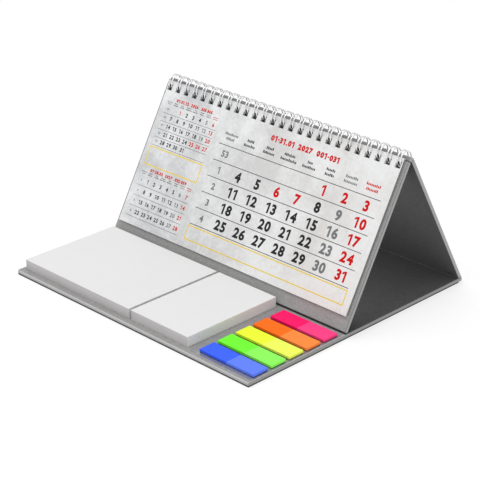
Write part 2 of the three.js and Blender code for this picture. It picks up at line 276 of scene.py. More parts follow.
@dataclass(frozen=True)
class CoveringPaper:
    """The grained paper that the boards are wrapped in, or that lines their inner faces."""

    name: str
    dark: Colour
    light: Colour
    grain_per_metre: float = 1050.0
    contrast: float = 3.0
    roughness: float = 0.62
    relief: float = 0.12
    relief_depth: float = 0.1 * MM
    clouds_per_metre: float = 22.0
    cloud_contrast: float = 0.5
    spread: float = 0.16

    def build(self) -> Material:
        """Makes the paper with its speckle, its slow unevenness and its fine relief.

        Returns:
            The material.
        """
        graph = Graph(self.name)
        speckle = graph.noise(self.grain_per_metre, detail=3.0)
        cloud = graph.noise(self.clouds_per_metre)
        share = (speckle - MIDDLE) * self.contrast + (cloud - MIDDLE) * self.cloud_contrast + MIDDLE
        graph.bump(speckle, self.relief, self.relief_depth)
        return graph.surface(
            Base_Color=graph.mix(share, self.dark, self.light),
            Roughness=speckle * self.spread + (self.roughness - self.spread / 2),
        )


@dataclass(frozen=True)
class EdgePaper:
    """The covering where it is folded over a board's edge, painted lighter or darker than the faces to stand
    in for how light falls on the edges.
    """

    name: str
    dark: Colour
    light: Colour
    line_below: float = -1.0
    line_share: float = 0.03
    marks_per_metre: float = 900.0
    marks_stretch: Triple = (0.2, 1.0, 1.0)
    relief: float = 0.06
    roughness: float = 0.5

    def build(self) -> Material:
        """Makes the paper with marks along the edge, and a painted contact shadow along its foot where it has
        one.

        Returns:
            The material.
        """
        graph = Graph(self.name)
        marks = graph.noise(self.marks_per_metre, stretch=self.marks_stretch)
        graph.bump(marks, self.relief, FINE_RELIEF)
        tone = graph.mix(marks, self.dark, self.light)
        # Below that height the colour is painted shadow, where the edge meets the floor.
        if self.line_below > 0:
            foot = tuple(channel * self.line_share for channel in self.dark)
            tone = graph.mix(graph.axis("Z").below(self.line_below), tone, foot)
        return graph.surface(Base_Color=tone, Roughness=marks * SPREAD + self.roughness)


@dataclass(frozen=True)
class BoardCore:
    """Grey millboard, seen only on the walls of the punched holes."""

    name: str = "board_core"
    dark: Colour = (0.125, 0.121, 0.114)
    light: Colour = (0.205, 0.199, 0.188)
    fibres_per_metre: float = 900.0
    fibre_stretch: Triple = (0.25, 1.0, 1.0)
    relief: float = 0.3
    relief_depth: float = 0.1 * MM
    roughness: float = 0.92

    def build(self) -> Material:
        """Makes the board with short fibres that lie along it.

        Returns:
            The material.
        """
        graph = Graph(self.name)
        fibre = graph.noise(self.fibres_per_metre, detail=4.0, stretch=self.fibre_stretch)
        graph.bump(fibre, self.relief, self.relief_depth)
        tone = graph.mix(fibre, self.dark, self.light)
        return graph.surface(Base_Color=tone, Roughness=self.roughness)


@dataclass(frozen=True)
class LeafPaper:
    """The leaves' paper, with a faint printed wash that is cool on one side and warm on the other."""

    name: str = "leaf_paper"
    cool: Colour = (0.520, 0.530, 0.540)
    warm: Colour = (0.660, 0.640, 0.622)
    pale: Colour = (0.765, 0.770, 0.776)
    cut_edge: Colour = (0.270, 0.270, 0.272)
    edge_x: float = 102.46 * MM
    wash_x: Pair = (-90 * MM, 100 * MM)
    wash_per_metre: float = 21.0
    wash_from: float = 0.38
    wash_contrast: float = 5.0
    wash_cover: float = 0.92
    side_lift: float = 0.1
    streaks_per_metre: float = 30.0
    streak_stretch: Triple = (1.6, 0.35, 0.35)
    streak_contrast: float = 1.5
    mottle_per_metre: float = 420.0
    mottle_contrast: float = 1.3
    tooth_per_metre: float = 2600.0
    relief: float = 0.05
    roughness: float = 0.6

    def build(self) -> Material:
        """Makes the paper with its wash, its tooth, its low sheen and its cut edges darkened with painted
        shade.

        Returns:
            The material.
        """
        graph = Graph(self.name)
        across = graph.axis("X")
        side = across.ramped(*self.wash_x)
        lumps = graph.noise(self.wash_per_metre, detail=4.0)
        wash = (lumps - self.wash_from) * self.wash_contrast + side * self.side_lift
        bands = graph.noise(self.streaks_per_metre, detail=3.0, stretch=self.streak_stretch)
        streaks = (bands - MIDDLE) * self.streak_contrast
        tooth = graph.noise(self.tooth_per_metre)
        tone = graph.mix(side, self.cool, self.warm)
        mottle = (graph.noise(self.mottle_per_metre, detail=3.0) - MIDDLE) * self.mottle_contrast
        share = (wash + streaks).ramped(0.0, 1.0) * self.wash_cover + mottle
        face = graph.mix(share, tone, self.pale)
        # Outside these limits, on the cut edges, the colour is painted shade.
        cut = across.above(self.edge_x) + across.below(-self.edge_x)
        graph.bump(tooth, self.relief, FINE_RELIEF)
        return graph.surface(
            Base_Color=graph.mix(cut, face, self.cut_edge),
            Roughness=tooth * SPREAD + self.roughness,
        )


@dataclass(frozen=True)
class NotePaper:
    """White note paper. Its copies for a pad's sides are painted darker or lighter than the top, as painted
    shade and painted light.
    """

    name: str = "note_paper"
    dark: Colour = (0.725, 0.725, 0.728)
    light: Colour = (0.765, 0.765, 0.767)
    clouds_per_metre: float = 30.0
    cloud_share: float = 0.7
    tooth_per_metre: float = 2400.0
    tooth_share: float = 0.3
    relief: float = 0.05
    roughness: float = 0.66

    def build(self) -> Material:
        """Makes the paper with a soft cloud and a fine tooth.

        Returns:
            The material.
        """
        graph = Graph(self.name)
        cloud = graph.noise(self.clouds_per_metre)
        tooth = graph.noise(self.tooth_per_metre)
        graph.bump(tooth, self.relief, FINE_RELIEF)
        share = cloud * self.cloud_share + tooth * self.tooth_share
        return graph.surface(
            Base_Color=graph.mix(share, self.dark, self.light),
            Roughness=tooth * SPREAD + self.roughness,
        )


@dataclass(frozen=True)
class Ink:
    """A printed ink that lets a little of the paper's tooth through. The same build also colours the painted
    shadow strips under the flags.
    """

    name: str
    dense: Colour
    thin: Colour
    cover_per_metre: float = 1900.0
    roughness: float = 0.5
    specular: float = 0.12

    def build(self) -> Material:
        """Makes the ink with uneven cover.

        Returns:
            The material.
        """
        graph = Graph(self.name)
        cover = graph.noise(self.cover_per_metre)
        return graph.surface(
            Base_Color=graph.mix(cover, self.dense, self.thin),
            Roughness=cover * SPREAD + self.roughness,
            Specular_IOR_Level=self.specular,
        )


@dataclass(frozen=True)
class FlagFilm:
    """The flags' coloured film: dense on the writing end, thinner and paler where it is clear."""

    name: str
    dense: Colour
    pale: Colour
    step_x: float
    step_half: float = 0.05 * MM
    mottle_per_metre: float = 700.0
    mottle_share: float = 0.12
    deeper: float = 0.86
    relief: float = 0.03
    roughness: float = 0.42
    specular: float = 0.06

    def build(self) -> Material:
        """Makes the film with its two tones, a light mottle and a satin coat.

        Returns:
            The material.
        """
        graph = Graph(self.name)
        across = graph.axis("X").ramped(self.step_x - self.step_half, self.step_x + self.step_half)
        mottle = graph.noise(self.mottle_per_metre)
        tone = graph.mix(across, self.dense, self.pale)
        deeper = tuple(channel * self.deeper for channel in self.dense)
        graph.bump(mottle, self.relief, FINE_RELIEF)
        return graph.surface(
            Base_Color=graph.mix(mottle * self.mottle_share, tone, deeper),
            Roughness=mottle * SPREAD + self.roughness,
            Specular_IOR_Level=self.specular,
        )


@dataclass(frozen=True)
class WireMetal:
    """The binding's bright drawn wire."""

    name: str = "binding_metal"
    dark: Colour = (0.80, 0.80, 0.81)
    light: Colour = (0.93, 0.93, 0.94)
    marks_per_metre: float = 1200.0
    metallic: float = 0.85
    roughness: float = 0.2
    spread: float = 0.12

    def build(self) -> Material:
        """Makes the wire with fine drawing marks.

        Returns:
            The material.
        """
        graph = Graph(self.name)
        marks = graph.noise(self.marks_per_metre)
        return graph.surface(
            Base_Color=graph.mix(marks, self.dark, self.light),
            Metallic=self.metallic,
            Roughness=marks * self.spread + self.roughness,
        )


@dataclass(frozen=True)
class ClearFilm:
    """The clear glossy card that carries the flags."""

    name: str = "clear_carrier"
    tint: Colour = (0.31, 0.31, 0.34)
    lighter: float = 1.1
    opacity: float = 0.72
    index: float = 2.2
    waves_per_metre: float = 60.0
    relief: float = 0.05
    relief_depth: float = 0.2 * MM
    roughness: float = 0.05
    spread: float = 0.03

    def build(self) -> Material:
        """Makes the film with slight waves, so that its reflections waver a little.

        Returns:
            The material.
        """
        graph = Graph(self.name)
        waves = graph.noise(self.waves_per_metre, detail=1.0)
        graph.bump(waves, self.relief, self.relief_depth)
        lighter = tuple(min(1.0, channel * self.lighter) for channel in self.tint)
        return graph.surface(
            Base_Color=graph.mix(waves, self.tint, lighter),
            Roughness=waves * self.spread + self.roughness,
            Alpha=self.opacity,
            IOR=self.index,
            Coat_Weight=1.0,
            Coat_IOR=self.index,
        )


@dataclass(frozen=True)
class Frame:
    """A flat working frame on the object: where it stands and how far it leans about X."""

    y: float = 0.0
    z: float = 0.0
    lean: float = 0.0

    @property
    def place(self) -> Matrix:
        """The matrix that takes the frame's own coordinates to the object's."""
        return Matrix.Translation((0, self.y, self.z)) @ Matrix.Rotation(math.radians(self.lean), 4, "X")


FOLD: Pair = (39.9813 * MM, 98.0037 * MM)
FRONT_FRAME = Frame(*FOLD, 60.7)
REAR_FRAME = Frame(*FOLD, 119.478878)
FOLD_FRAME = Frame(*FOLD)


def rectangle(x: Pair, y: Pair, z: float, corner: float = 0.0, segments: int = 4) -> BMesh:
    """A flat rectangle.

    Args:
        x: Its left and right edges.
        y: Its near and far edges.
        z: Its height.
        corner: The radius of its corners, or 0 for sharp ones.
        segments: How many sides a round corner has.

    Returns:
        A bmesh with one face.
    """
    bm = bmesh.new()
    bmesh.ops.create_grid(bm, x_segments=1, y_segments=1, size=0.5)
    bmesh.ops.scale(bm, vec=(x[1] - x[0], y[1] - y[0], 1), verts=bm.verts)
    bmesh.ops.translate(bm, vec=((x[0] + x[1]) / 2, (y[0] + y[1]) / 2, z), verts=bm.verts)
    if corner > 0:
        bmesh.ops.bevel(
            bm, geom=list(bm.verts), offset=corner, offset_type="OFFSET", segments=segments,
            profile=0.5, affect="VERTICES", material=-1,
        )
    return bm


def cut(bm: BMesh, point: Sequence[float], normal: Sequence[float]) -> None:
    """Splits every face that a plane crosses, given by a point on it and its direction."""
    everything = [*bm.verts, *bm.edges, *bm.faces]
    bmesh.ops.bisect_plane(bm, geom=everything, dist=FINE_TOUCH, plane_co=point, plane_no=normal)


def extruded(bm: BMesh, faces: list[BMFace]) -> tuple[list[BMFace], list[BMVert]]:
    """Extrudes some faces and leaves what is new in place.

    Args:
        bm: The bmesh.
        faces: The faces.

    Returns:
        The new faces and the new corners.
    """
    made = bmesh.ops.extrude_face_region(bm, geom=faces)["geom"]
    new_faces = [item for item in made if isinstance(item, BMFace)]
    new_verts = [item for item in made if isinstance(item, BMVert)]
    return new_faces, new_verts


def draw_out(bm: BMesh, step: Sequence[float]) -> None:
    """Gives a flat bmesh a thickness, by as much as the step and in its direction."""
    bmesh.ops.translate(bm, vec=step, verts=extruded(bm, list(bm.faces))[1])
    bmesh.ops.recalc_face_normals(bm, faces=bm.faces)


def prism(corners: Iterable[Sequence[float]], step: Sequence[float]) -> BMesh:
    """Draws a flat outline out into a solid.

    Args:
        corners: The outline's corners in order.
        step: How far it is drawn out, and which way.

    Returns:
        A closed bmesh.
    """
    bm = bmesh.new()
    bm.faces.new([bm.verts.new(corner) for corner in corners])
    draw_out(bm, step)
    return bm


def add_bar(bm: BMesh, x: Pair, y: Pair, z: Pair, number: int) -> None:
    """Adds a plain bar to a bmesh.

    Args:
        bm: The bmesh.
        x: Its left and right ends.
        y: Its near and far sides.
        z: Its underside and its top.
        number: Its material number.
    """
    made = bmesh.ops.create_cube(bm, size=1.0)["verts"]
    bmesh.ops.scale(bm, vec=(x[1] - x[0], y[1] - y[0], z[1] - z[0]), verts=made)
    bmesh.ops.translate(bm, vec=((x[0] + x[1]) / 2, (y[0] + y[1]) / 2, (z[0] + z[1]) / 2), verts=made)
    for face in {f for v in made for f in v.link_faces}:
        face.material_index = number


def upright(face: BMFace) -> bool:
    """Whether a face stands upright, as a wall does."""
    return abs(face.normal.z) < UPRIGHT


def brim(bm: BMesh, height: float) -> list[BMEdge]:
    """The edges at one height in which an upright face ends.

    Args:
        bm: The bmesh.
        height: Their place along Z.

    Returns:
        The edges.
    """
    return [
        edge for edge in bm.edges
        if all(abs(vert.co.z - height) < TOUCH for vert in edge.verts) and any(map(upright, edge.link_faces))
    ]


def round_edges(bm: BMesh, edges: list[BMEdge], radius: float, segments: int) -> None:
    """Rounds some edges.

    Args:
        bm: The bmesh.
        edges: The edges to round.
        radius: The rounding's radius.
        segments: How many faces it takes.
    """
    if edges:
        bmesh.ops.bevel(
            bm, geom=edges, offset=radius, offset_type="OFFSET", segments=segments,
            profile=0.5, affect="EDGES", material=-1, clamp_overlap=True,
        )


def round_ends(bm: BMesh, radius: float, segments: int) -> None:
    """Rounds the edges at both ends of a bar that runs along X."""
    ends = [e for e in bm.edges if abs(e.verts[0].co.x - e.verts[1].co.x) < TOUCH]
    round_edges(bm, ends, radius, segments)


def smooth_curves(bm: BMesh) -> None:
    """Shades a bmesh so that its flat faces stay flat and its roundings look round."""
    bm.normal_update()
    for face in bm.faces:
        face.smooth = max(abs(axis) for axis in face.normal) < SHADED_FLAT


def stored(bm: BMesh, name: str) -> Mesh:
    """Keeps a bmesh as a mesh and frees it."""
    mesh = bpy.data.meshes.new(name)
    bm.to_mesh(mesh)
    bm.free()
    return mesh


def linked(name: str, data: ID) -> Object:
    """Makes an object of a mesh, a curve, a light or a camera, in the scene."""
    made = bpy.data.objects.new(name, data)
    bpy.context.scene.collection.objects.link(made)
    return made


def from_curve(curve: Curve) -> BMesh:
    """Turns a curve or a text into a bmesh.

    Args:
        curve: The curve or text, which is removed.

    Returns:
        The bmesh.
    """
    holder = linked(curve.name, curve)
    drawn = holder.evaluated_get(bpy.context.evaluated_depsgraph_get())
    mesh = bpy.data.meshes.new_from_object(drawn)
    bpy.data.objects.remove(holder)
    bpy.data.curves.remove(curve)
    bm = bmesh.new()
    bm.from_mesh(mesh)
    bpy.data.meshes.remove(mesh)
    return bm


def publish(
    bm: BMesh,
    name: str,
    finishes: Sequence[Material],
    body: str,
    place: Matrix | None = None,
    replaces: Sequence[str] = (),
) -> None:
    """Turns a bmesh into a named piece that rides on a body.

    Args:
        bm: The bmesh, in its own frame. It is freed.
        name: The piece's name.
        finishes: Its materials, in the order of its faces' material numbers.
        body: The body that it rides on.
        place: The matrix to the object's coordinates.
        replaces: The nodes that it stands for.
    """
    if place is not None:
        bmesh.ops.transform(bm, matrix=place, verts=bm.verts)
    mesh = stored(bm, name)
    for finish in finishes:
        mesh.materials.append(finish)
    piece = linked(name, mesh)
    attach(piece, body)
    if replaces:
        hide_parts(*replaces)
    LOG.info("%s: %d faces on %s", name, len(mesh.polygons), body)


def carry_over(names: Iterable[str], finish: Material) -> None:
    """Gives the nodes that are shown as they are a finish.

    Args:
        names: The nodes.
        finish: Their material.
    """
    for name in names:
        node = bpy.data.objects[name]
        node.data.materials.clear()
        node.data.materials.append(finish)
        LOG.info("%s keeps its own shape", name)


@dataclass(frozen=True)
class HoleRow:
    """The row of square holes that the wire passes through."""

    near: float
    far: float
    count: int = 26
    pitch: float = 7.97 * MM
    width: float = 4.2 * MM

    def centres(self) -> list[float]:
        """The middle of each hole along X."""
        return [(i - (self.count - 1) / 2) * self.pitch for i in range(self.count)]

    def punch(self, bm: BMesh) -> None:
        """Cuts the holes into a flat sheet.

        Args:
            bm: The sheet, still flat.
        """
        for y in (self.near, self.far):
            cut(bm, (0, y, 0), (0, 1, 0))
        for centre in self.centres():
            for side in (-0.5, 0.5):
                cut(bm, (centre + side * self.width, 0, 0), (1, 0, 0))
        punched = [face for face in bm.faces if self.covers(face.calc_center_median())]
        bmesh.ops.delete(bm, geom=punched, context="FACES")

    def covers(self, point: Vector, play: float = 0.0) -> bool:
        """Whether a point lies in a hole.

        Args:
            point: The point.
            play: How far outside the hole it may lie.

        Returns:
            True where it does.
        """
        low, high = sorted((self.near, self.far))
        beside = min(abs(point.x - centre) for centre in self.centres())
        return low - play < point.y < high + play and beside < self.width / 2 + play

    def is_wall(self, face: BMFace) -> bool:
        """Whether a face is the wall of a hole."""
        return upright(face) and self.covers(face.calc_center_median(), LOOSE_TOUCH)


class BoardPart(Enum):
    """The parts of a wrapped board, in the order of its material numbers."""

    FACE = 0
    HOLE_WALL = 1
    SIDE = 2
    OUTER_RIM = 3
    INNER_RIM = 4
    FLANK = 5


@dataclass
class WrappedBoard:
    """One board of the case: the wrapped board with its seam, and the sheets that line its inner face.

    Lengths are in the board's own frame: Y along it and Z through it.
    """

    y: Pair
    outer: float
    inner: float
    holes: HoleRow | None = None
    width: float = 210 * MM
    skin: float = 0.28 * MM
    corner: float = 0.6 * MM
    outer_round: float = 0.42 * MM
    inner_round: float = 0.25 * MM
    seam_from_inner: float = 1.35 * MM
    seam_half_width: float = 0.1 * MM
    seam_depth: float = 0.14 * MM
    rim_width: float = 0.6 * MM
    lining_margin: float = 0.12 * MM
    lining_corner: float = 0.8 * MM
    lining_rim: float = 0.9 * MM
    lining_round: float = 0.09 * MM

    @property
    def up(self) -> float:
        """1 where the inner face is the upper one, else -1."""
        return math.copysign(1.0, self.inner - self.outer)

    def in_rim(self, point: Vector) -> bool:
        """Whether a point is near the board's outline, in the board's plane."""
        distances = (self.width / 2 - abs(point.x), abs(point.y - self.y[0]), abs(point.y - self.y[1]))
        return min(distances) < self.rim_width

    def wrapped(self) -> BMesh:
        """The board with its round edges and the seam where the covering is turned in.

        Returns:
            A closed bmesh with its faces' material numbers in the order of BoardPart.
        """
        face_in = self.inner - self.up * self.skin
        low, high = sorted((self.outer, face_in))
        bm = rectangle((-self.width / 2, self.width / 2), self.y, low, self.corner, 6)
        if self.holes:
            self.holes.punch(bm)
        draw_out(bm, (0, 0, high - low))
        seam = self.inner - self.up * self.seam_from_inner
        for height in (seam - self.seam_half_width, seam, seam + self.seam_half_width):
            cut(bm, (0, 0, height), (0, 0, 1))
        bm.normal_update()
        for vert in bm.verts:
            if abs(vert.co.z - seam) < TOUCH and self.in_rim(vert.co):
                outward = Vector((vert.normal.x, vert.normal.y, 0)).normalized()
                vert.co -= outward * self.seam_depth
        for height, radius, segments in ((self.outer, self.outer_round, 6), (face_in, self.inner_round, 3)):
            rim = [e for e in brim(bm, height) if self.in_rim((e.verts[0].co + e.verts[1].co) / 2)]
            round_edges(bm, rim, radius, segments)
        smooth_curves(bm)
        for face in bm.faces:
            face.material_index = self.part_of(face).value
        return bm

    def part_of(self, face: BMFace) -> BoardPart:
        """Says which part of the board a face belongs to.

        Args:
            face: One of the wrapped board's faces.

        Returns:
            The part.
        """
        if self.holes and self.holes.is_wall(face):
            return BoardPart.HOLE_WALL
        if abs(face.normal.z) > FLAT:
            return BoardPart.FACE
        middle = face.calc_center_median().z
        if abs(middle - self.outer) < self.outer_round:
            return BoardPart.OUTER_RIM
        if abs(middle - self.inner) < self.skin + self.inner_round:
            return BoardPart.INNER_RIM
        return BoardPart.SIDE

    def lining(self, y: Pair) -> BMesh:
        """A sheet glued to the inner face.

        Args:
            y: Where it starts and ends.

        Returns:
            A closed bmesh.
        """
        half = self.width / 2 - self.lining_margin
        low, high = sorted((self.inner - self.up * self.skin, self.inner))
        bm = rectangle((-half, half), y, low, self.lining_corner)
        if self.holes:
            self.holes.punch(bm)
        draw_out(bm, (0, 0, high - low))

        def outlying(edge: BMEdge) -> bool:
            """Whether an edge is on the sheet's outline, and not at a hole."""
            end = edge.verts[0].co
            at_side = abs(abs(end.x) - half) < self.lining_rim
            at_end = min(abs(end.y - limit) for limit in y) < LOOSE_TOUCH
            at_hole = self.holes and any(map(self.holes.is_wall, edge.link_faces))
            return (at_side or at_end) and not at_hole

        round_edges(bm, [e for e in brim(bm, self.inner) if outlying(e)], self.lining_round, 2)
        smooth_curves(bm)
        for face in bm.faces:
            face.material_index = 0 if abs(face.normal.z) > FLAT else 1
        return bm


@dataclass
class Case:
    """The three-part case: the base, the rear and front panels, the hinge and the spine."""

    grey: Material
    # The finishes from here to the lining stand in for light on the edges: sides painted lighter or darker
    # than the faces, a painted contact shadow along the base's foot, and folds with a painted highlight or
    # painted shade.
    edge: Material
    base_edge: Material
    base_flank: Material
    bright_fold: Material
    dark_fold: Material
    crease: Material
    charcoal: Material
    core: Material
    front_edge: float = -97.6 * MM
    base_end: float = 94.5 * MM
    foot_line: float = -15.7 * MM
    base_thickness: float = 3.2 * MM
    base_seam: float = 1.7 * MM
    base_round: float = 0.15 * MM
    joint_behind_foot: float = 0.3 * MM
    joint_half: float = 0.02 * MM
    lining_setback: float = 0.6 * MM
    fold_gap: float = 0.15 * MM
    panel_thickness: float = 2.7 * MM
    front_reach: float = 108.7 * MM
    rear_reach: float = 109.375 * MM
    hinge: Pair = (96.2 * MM, 1.6 * MM)
    bead_radius: float = 1.4 * MM
    bead_round: float = 0.5 * MM
    bead_sides: int = 32
    bead_dark_from: float = -0.2
    crease_width: float = 0.4 * MM
    panel_lining_setback: float = 0.15 * MM
    web_outline_mm: tuple[Pair, ...] = (
        (0.55, 1.15), (0.9, 0.2), (3.5, 0.2), (3.5, 1.33), (1.6, 1.36), (0.8, 1.42),
    )
    web_inset: float = 0.05 * MM
    spine_play: float = 0.15 * MM
    spine_crown: float = 1.7 * MM
    spine_foot: float = 0.35 * MM
    spine_round: float = 0.12 * MM
    spine_steps: int = 14
    width: float = 210 * MM
    panel_holes: HoleRow = field(default_factory=lambda: HoleRow(near=-2.0 * MM, far=-6.9 * MM))

    def build(self) -> None:
        """Makes every piece of the case."""
        self.base()
        self.panel("rear", "rear_panel", REAR_FRAME, self.rear_reach, -1)
        self.panel("front", "front_panel", FRONT_FRAME, self.front_reach, 1)
        self.hinge_strip()
        self.spine()

    def base(self) -> None:
        """Makes the base board, the grey sheet under the stationery and the charcoal lining."""
        board = WrappedBoard(
            (self.front_edge, self.base_end), 0.0, self.base_thickness,
            width=self.width, seam_from_inner=self.base_seam, outer_round=self.base_round,
        )
        wrap = board.wrapped()
        # The left and right sides get a darker copy, painted shade. The front and back sides get a lighter
        # copy, painted light, and the top rim gets a painted highlight.
        sides = (BoardPart.SIDE.value, BoardPart.INNER_RIM.value)
        for face in wrap.faces:
            if abs(face.normal.x) > TURNED and face.material_index in sides:
                face.material_index = BoardPart.FLANK.value
        publish(
            wrap, "base_case",
            [self.grey, self.core, self.base_edge, self.base_edge, self.bright_fold, self.base_flank], "base",
            replaces=("base_cover", "base_board"),
        )
        joint = self.foot_line + self.joint_behind_foot
        front_paper = board.lining((self.front_edge + board.lining_margin, joint - self.joint_half))
        # The sheet's rim and sides are a painted highlight.
        publish(
            front_paper, "base_front_paper", [self.grey, self.bright_fold], "base",
            replaces=("base_front_sheet",),
        )
        lining_end = self.base_end - self.lining_setback
        crease_start = lining_end - self.crease_width
        lining = board.lining((joint + self.joint_half, lining_end))
        # The strip at the lining's rear end is a painted highlight along the fold line.
        cut(lining, (0, crease_start, 0), (0, 1, 0))
        for face in lining.faces:
            if face.calc_center_median().y > crease_start:
                face.material_index = 2
        publish(
            lining, "base_lining_paper", [self.charcoal, self.charcoal, self.crease], "base",
            replaces=("base_lining",),
        )

    def panel(self, name: str, body: str, frame: Frame, reach: float, side: int) -> None:
        """Makes one leaning panel and its lining.

        Args:
            name: The panel's short name.
            body: The body that it rides on.
            frame: Its working frame.
            reach: How far it runs down from the fold.
            side: 1 where its outer face is on the frame's upper side, -1 where it is below.
        """
        board = WrappedBoard(
            (-reach, -self.fold_gap), side * (self.fold_gap + self.panel_thickness), side * self.fold_gap,
            holes=self.panel_holes, width=self.width,
        )
        # The panels' sides and inner rims are painted lighter than the faces, as painted light, and their
        # outer rims are painted shade.
        publish(
            board.wrapped(), f"{name}_case", [self.grey, self.core, self.edge, self.dark_fold, self.edge],
            body, frame.place, replaces=(f"{name}_cover", f"{name}_board"),
        )
        lined = (-reach + self.panel_lining_setback, -self.fold_gap - self.panel_lining_setback)
        publish(
            board.lining(lined), f"{name}_lining_paper", [self.charcoal, self.charcoal],
            body, frame.place, replaces=(f"{name}_lining",),
        )

    def hinge_strip(self) -> None:
        """Makes the rounded hinge of the covering at the rear of the base, painted lighter outside and with a
        painted highlight on its inner side, along the fold line.
        """
        bm = bmesh.new()
        radius = self.bead_radius
        bmesh.ops.create_cone(
            bm, cap_ends=True, segments=self.bead_sides, radius1=radius, radius2=radius, depth=self.width,
        )
        bmesh.ops.rotate(bm, cent=(0, 0, 0), matrix=Matrix.Rotation(math.radians(90), 3, "Y"), verts=bm.verts)
        round_ends(bm, self.bead_round, 4)
        bmesh.ops.translate(bm, vec=(0, *self.hinge), verts=bm.verts)
        smooth_curves(bm)
        # Faces turned inward get the painted highlight of the fold line. The rest get the painted lighter
        # edge colour.
        for face in bm.faces:
            inner = face.normal.y < LEANING and face.normal.z > self.bead_dark_from
            inner = inner and abs(face.normal.x) < END
            face.material_index = 1 if inner else 0
        publish(
            bm, "rear_hinge", [self.edge, self.crease], "base",
            replaces=("rear_hinge_strip",),
        )
        self.hinge_web()

    def hinge_web(self) -> None:
        """Makes the fold of covering that carries the rear panel's outer face down to the hinge."""
        half = self.width / 2 - self.web_inset
        bm = prism([(-half, up * MM, -out * MM) for up, out in self.web_outline_mm], (2 * half, 0, 0))
        place = Frame(*self.hinge, REAR_FRAME.lean).place
        # The fold is painted lighter than the faces, as painted light.
        publish(bm, "rear_hinge_fold", [self.edge], "rear_panel", place)

    def spine(self) -> None:
        """Makes the crowned strip that bridges the tops of the panels."""
        radius = self.fold_gap + self.panel_thickness - self.spine_play
        front = math.radians(FRONT_FRAME.lean + 90)
        rear = math.radians(REAR_FRAME.lean - 90)

        def corner(angle: float, off: float) -> Vector:
            """A corner of the wedge in the fold's frame, as Y and Z."""
            along = Vector((math.cos(angle), math.sin(angle)))
            across = Vector((-math.sin(angle), math.cos(angle)))
            return along * radius - across * off

        left = corner(front, self.spine_play)
        right = corner(rear, -self.spine_play)
        middle = (left + right) / 2
        half = (left - right).length / 2
        bend = (half**2 + self.spine_crown**2) / (2 * self.spine_crown)
        centre = Vector((middle.x, middle.y - (bend - self.spine_crown)))
        start = math.atan2(right.y - centre.y, right.x - centre.x)
        finish = math.atan2(left.y - centre.y, left.x - centre.x)
        outline = [Vector((0.0, self.spine_foot))]
        for i in range(self.spine_steps + 1):
            angle = start + (finish - start) * i / self.spine_steps
            outline.append(centre + bend * Vector((math.cos(angle), math.sin(angle))))
        bm = prism([(-self.width / 2, point.x, point.y) for point in outline], (self.width, 0, 0))
        round_ends(bm, self.spine_round, 2)
        smooth_curves(bm)
        # Faces turned forward are painted shade. The rest is painted lighter, as painted light.
        for face in bm.faces:
            forward = face.normal.y < -LEANING and abs(face.normal.x) < END
            face.material_index = 1 if forward else 0
        publish(
            bm, "spine_band", [self.edge, self.dark_fold], "rear_panel", FOLD_FRAME.place,
            replaces=("spine_strip",),
        )


@dataclass
class Binding:
    """The twin-loop wire: fingers that pass through the holes and round the fold, joined by short runs."""

    metal: Material
    holes: HoleRow
    wire_radius: float = 0.45 * MM
    loop_radius: float = 5.15 * MM
    above_fold: float = 0.75 * MM
    before_fold: float = 0.75 * MM
    pair_spacing: float = 2.45 * MM
    run_bend: float = 0.9 * MM
    run_behind_fold: float = 0.95 * MM
    tip_gap: float = 1.9 * MM
    leg_steps: int = 30
    bend_steps: int = 5
    tip_steps: int = 8
    tube_steps: int = 3

    def path(self) -> list[Vector]:
        """Draws the wire's centre line.

        Returns:
            Its points in the front panel's frame, from one end of the wire to the other.
        """
        half = self.pair_spacing / 2
        run_angle = math.pi + math.asin((self.run_behind_fold + self.before_fold) / self.loop_radius)
        leg_start = run_angle - self.run_bend / self.loop_radius
        tip_angle = run_angle - 2 * math.pi + self.tip_gap / self.loop_radius
        leg_end = tip_angle + half / self.loop_radius

        def at(x: float, angle: float) -> Vector:
            """A point on the loops' common cylinder."""
            return Vector((
                x,
                self.above_fold + self.loop_radius * math.cos(angle),
                self.before_fold + self.loop_radius * math.sin(angle),
            ))

        def bend(x: float, side: int, share: float) -> Vector:
            """A point on the quarter bend between a finger, at share 0, and a run, at share 1."""
            turn = share * math.pi / 2
            out = self.run_bend * (1 - math.cos(turn))
            along = self.run_bend * math.sin(turn)
            return at(x + side * out, leg_start + along / self.loop_radius)

        points: list[Vector] = []
        centres = self.holes.centres()
        sweep = leg_end - leg_start
        legs = [leg_start + sweep * k / self.leg_steps for k in range(self.leg_steps + 1)]
        tips = [math.pi * k / self.tip_steps for k in range(1, self.tip_steps)]
        for i, x in enumerate(centres):
            if i > 0:
                points += [bend(x - half, -1, 1 - k / self.bend_steps) for k in range(self.bend_steps)]
            points += [at(x - half, angle) for angle in legs]
            for turn in tips:
                beyond = half * math.sin(turn) / self.loop_radius
                points.append(at(x - half * math.cos(turn), leg_end - beyond))
            points += [at(x + half, angle) for angle in reversed(legs)]
            if i < len(centres) - 1:
                points += [bend(x + half, 1, (k + 1) / self.bend_steps) for k in range(self.bend_steps)]
        return points

    def build(self) -> None:
        """Makes the wire as one round tube with closed ends."""
        curve = bpy.data.curves.new("binding_path", "CURVE")
        curve.dimensions = "3D"
        curve.bevel_depth = self.wire_radius
        curve.bevel_resolution = self.tube_steps
        curve.use_fill_caps = True
        spline = curve.splines.new("POLY")
        points = self.path()
        spline.points.add(len(points) - 1)
        for slot, point in zip(spline.points, points):
            slot.co = (*point, 1.0)
        bm = from_curve(curve)
        bmesh.ops.remove_doubles(bm, verts=bm.verts, dist=TOUCH)
        bmesh.ops.recalc_face_normals(bm, faces=bm.faces)
        for face in bm.faces:
            face.smooth = len(face.verts) <= 4
        publish(
            bm, "twin_loop_wire", [self.metal], "front_panel", FRONT_FRAME.place,
            replaces=("binding_wire",),
        )


class InkColour(Enum):
    """The inks on the leaves, in the order of the print's material numbers."""

    BLACK = 0
    GREY = 1
    RED = 2
    GOLD = 3


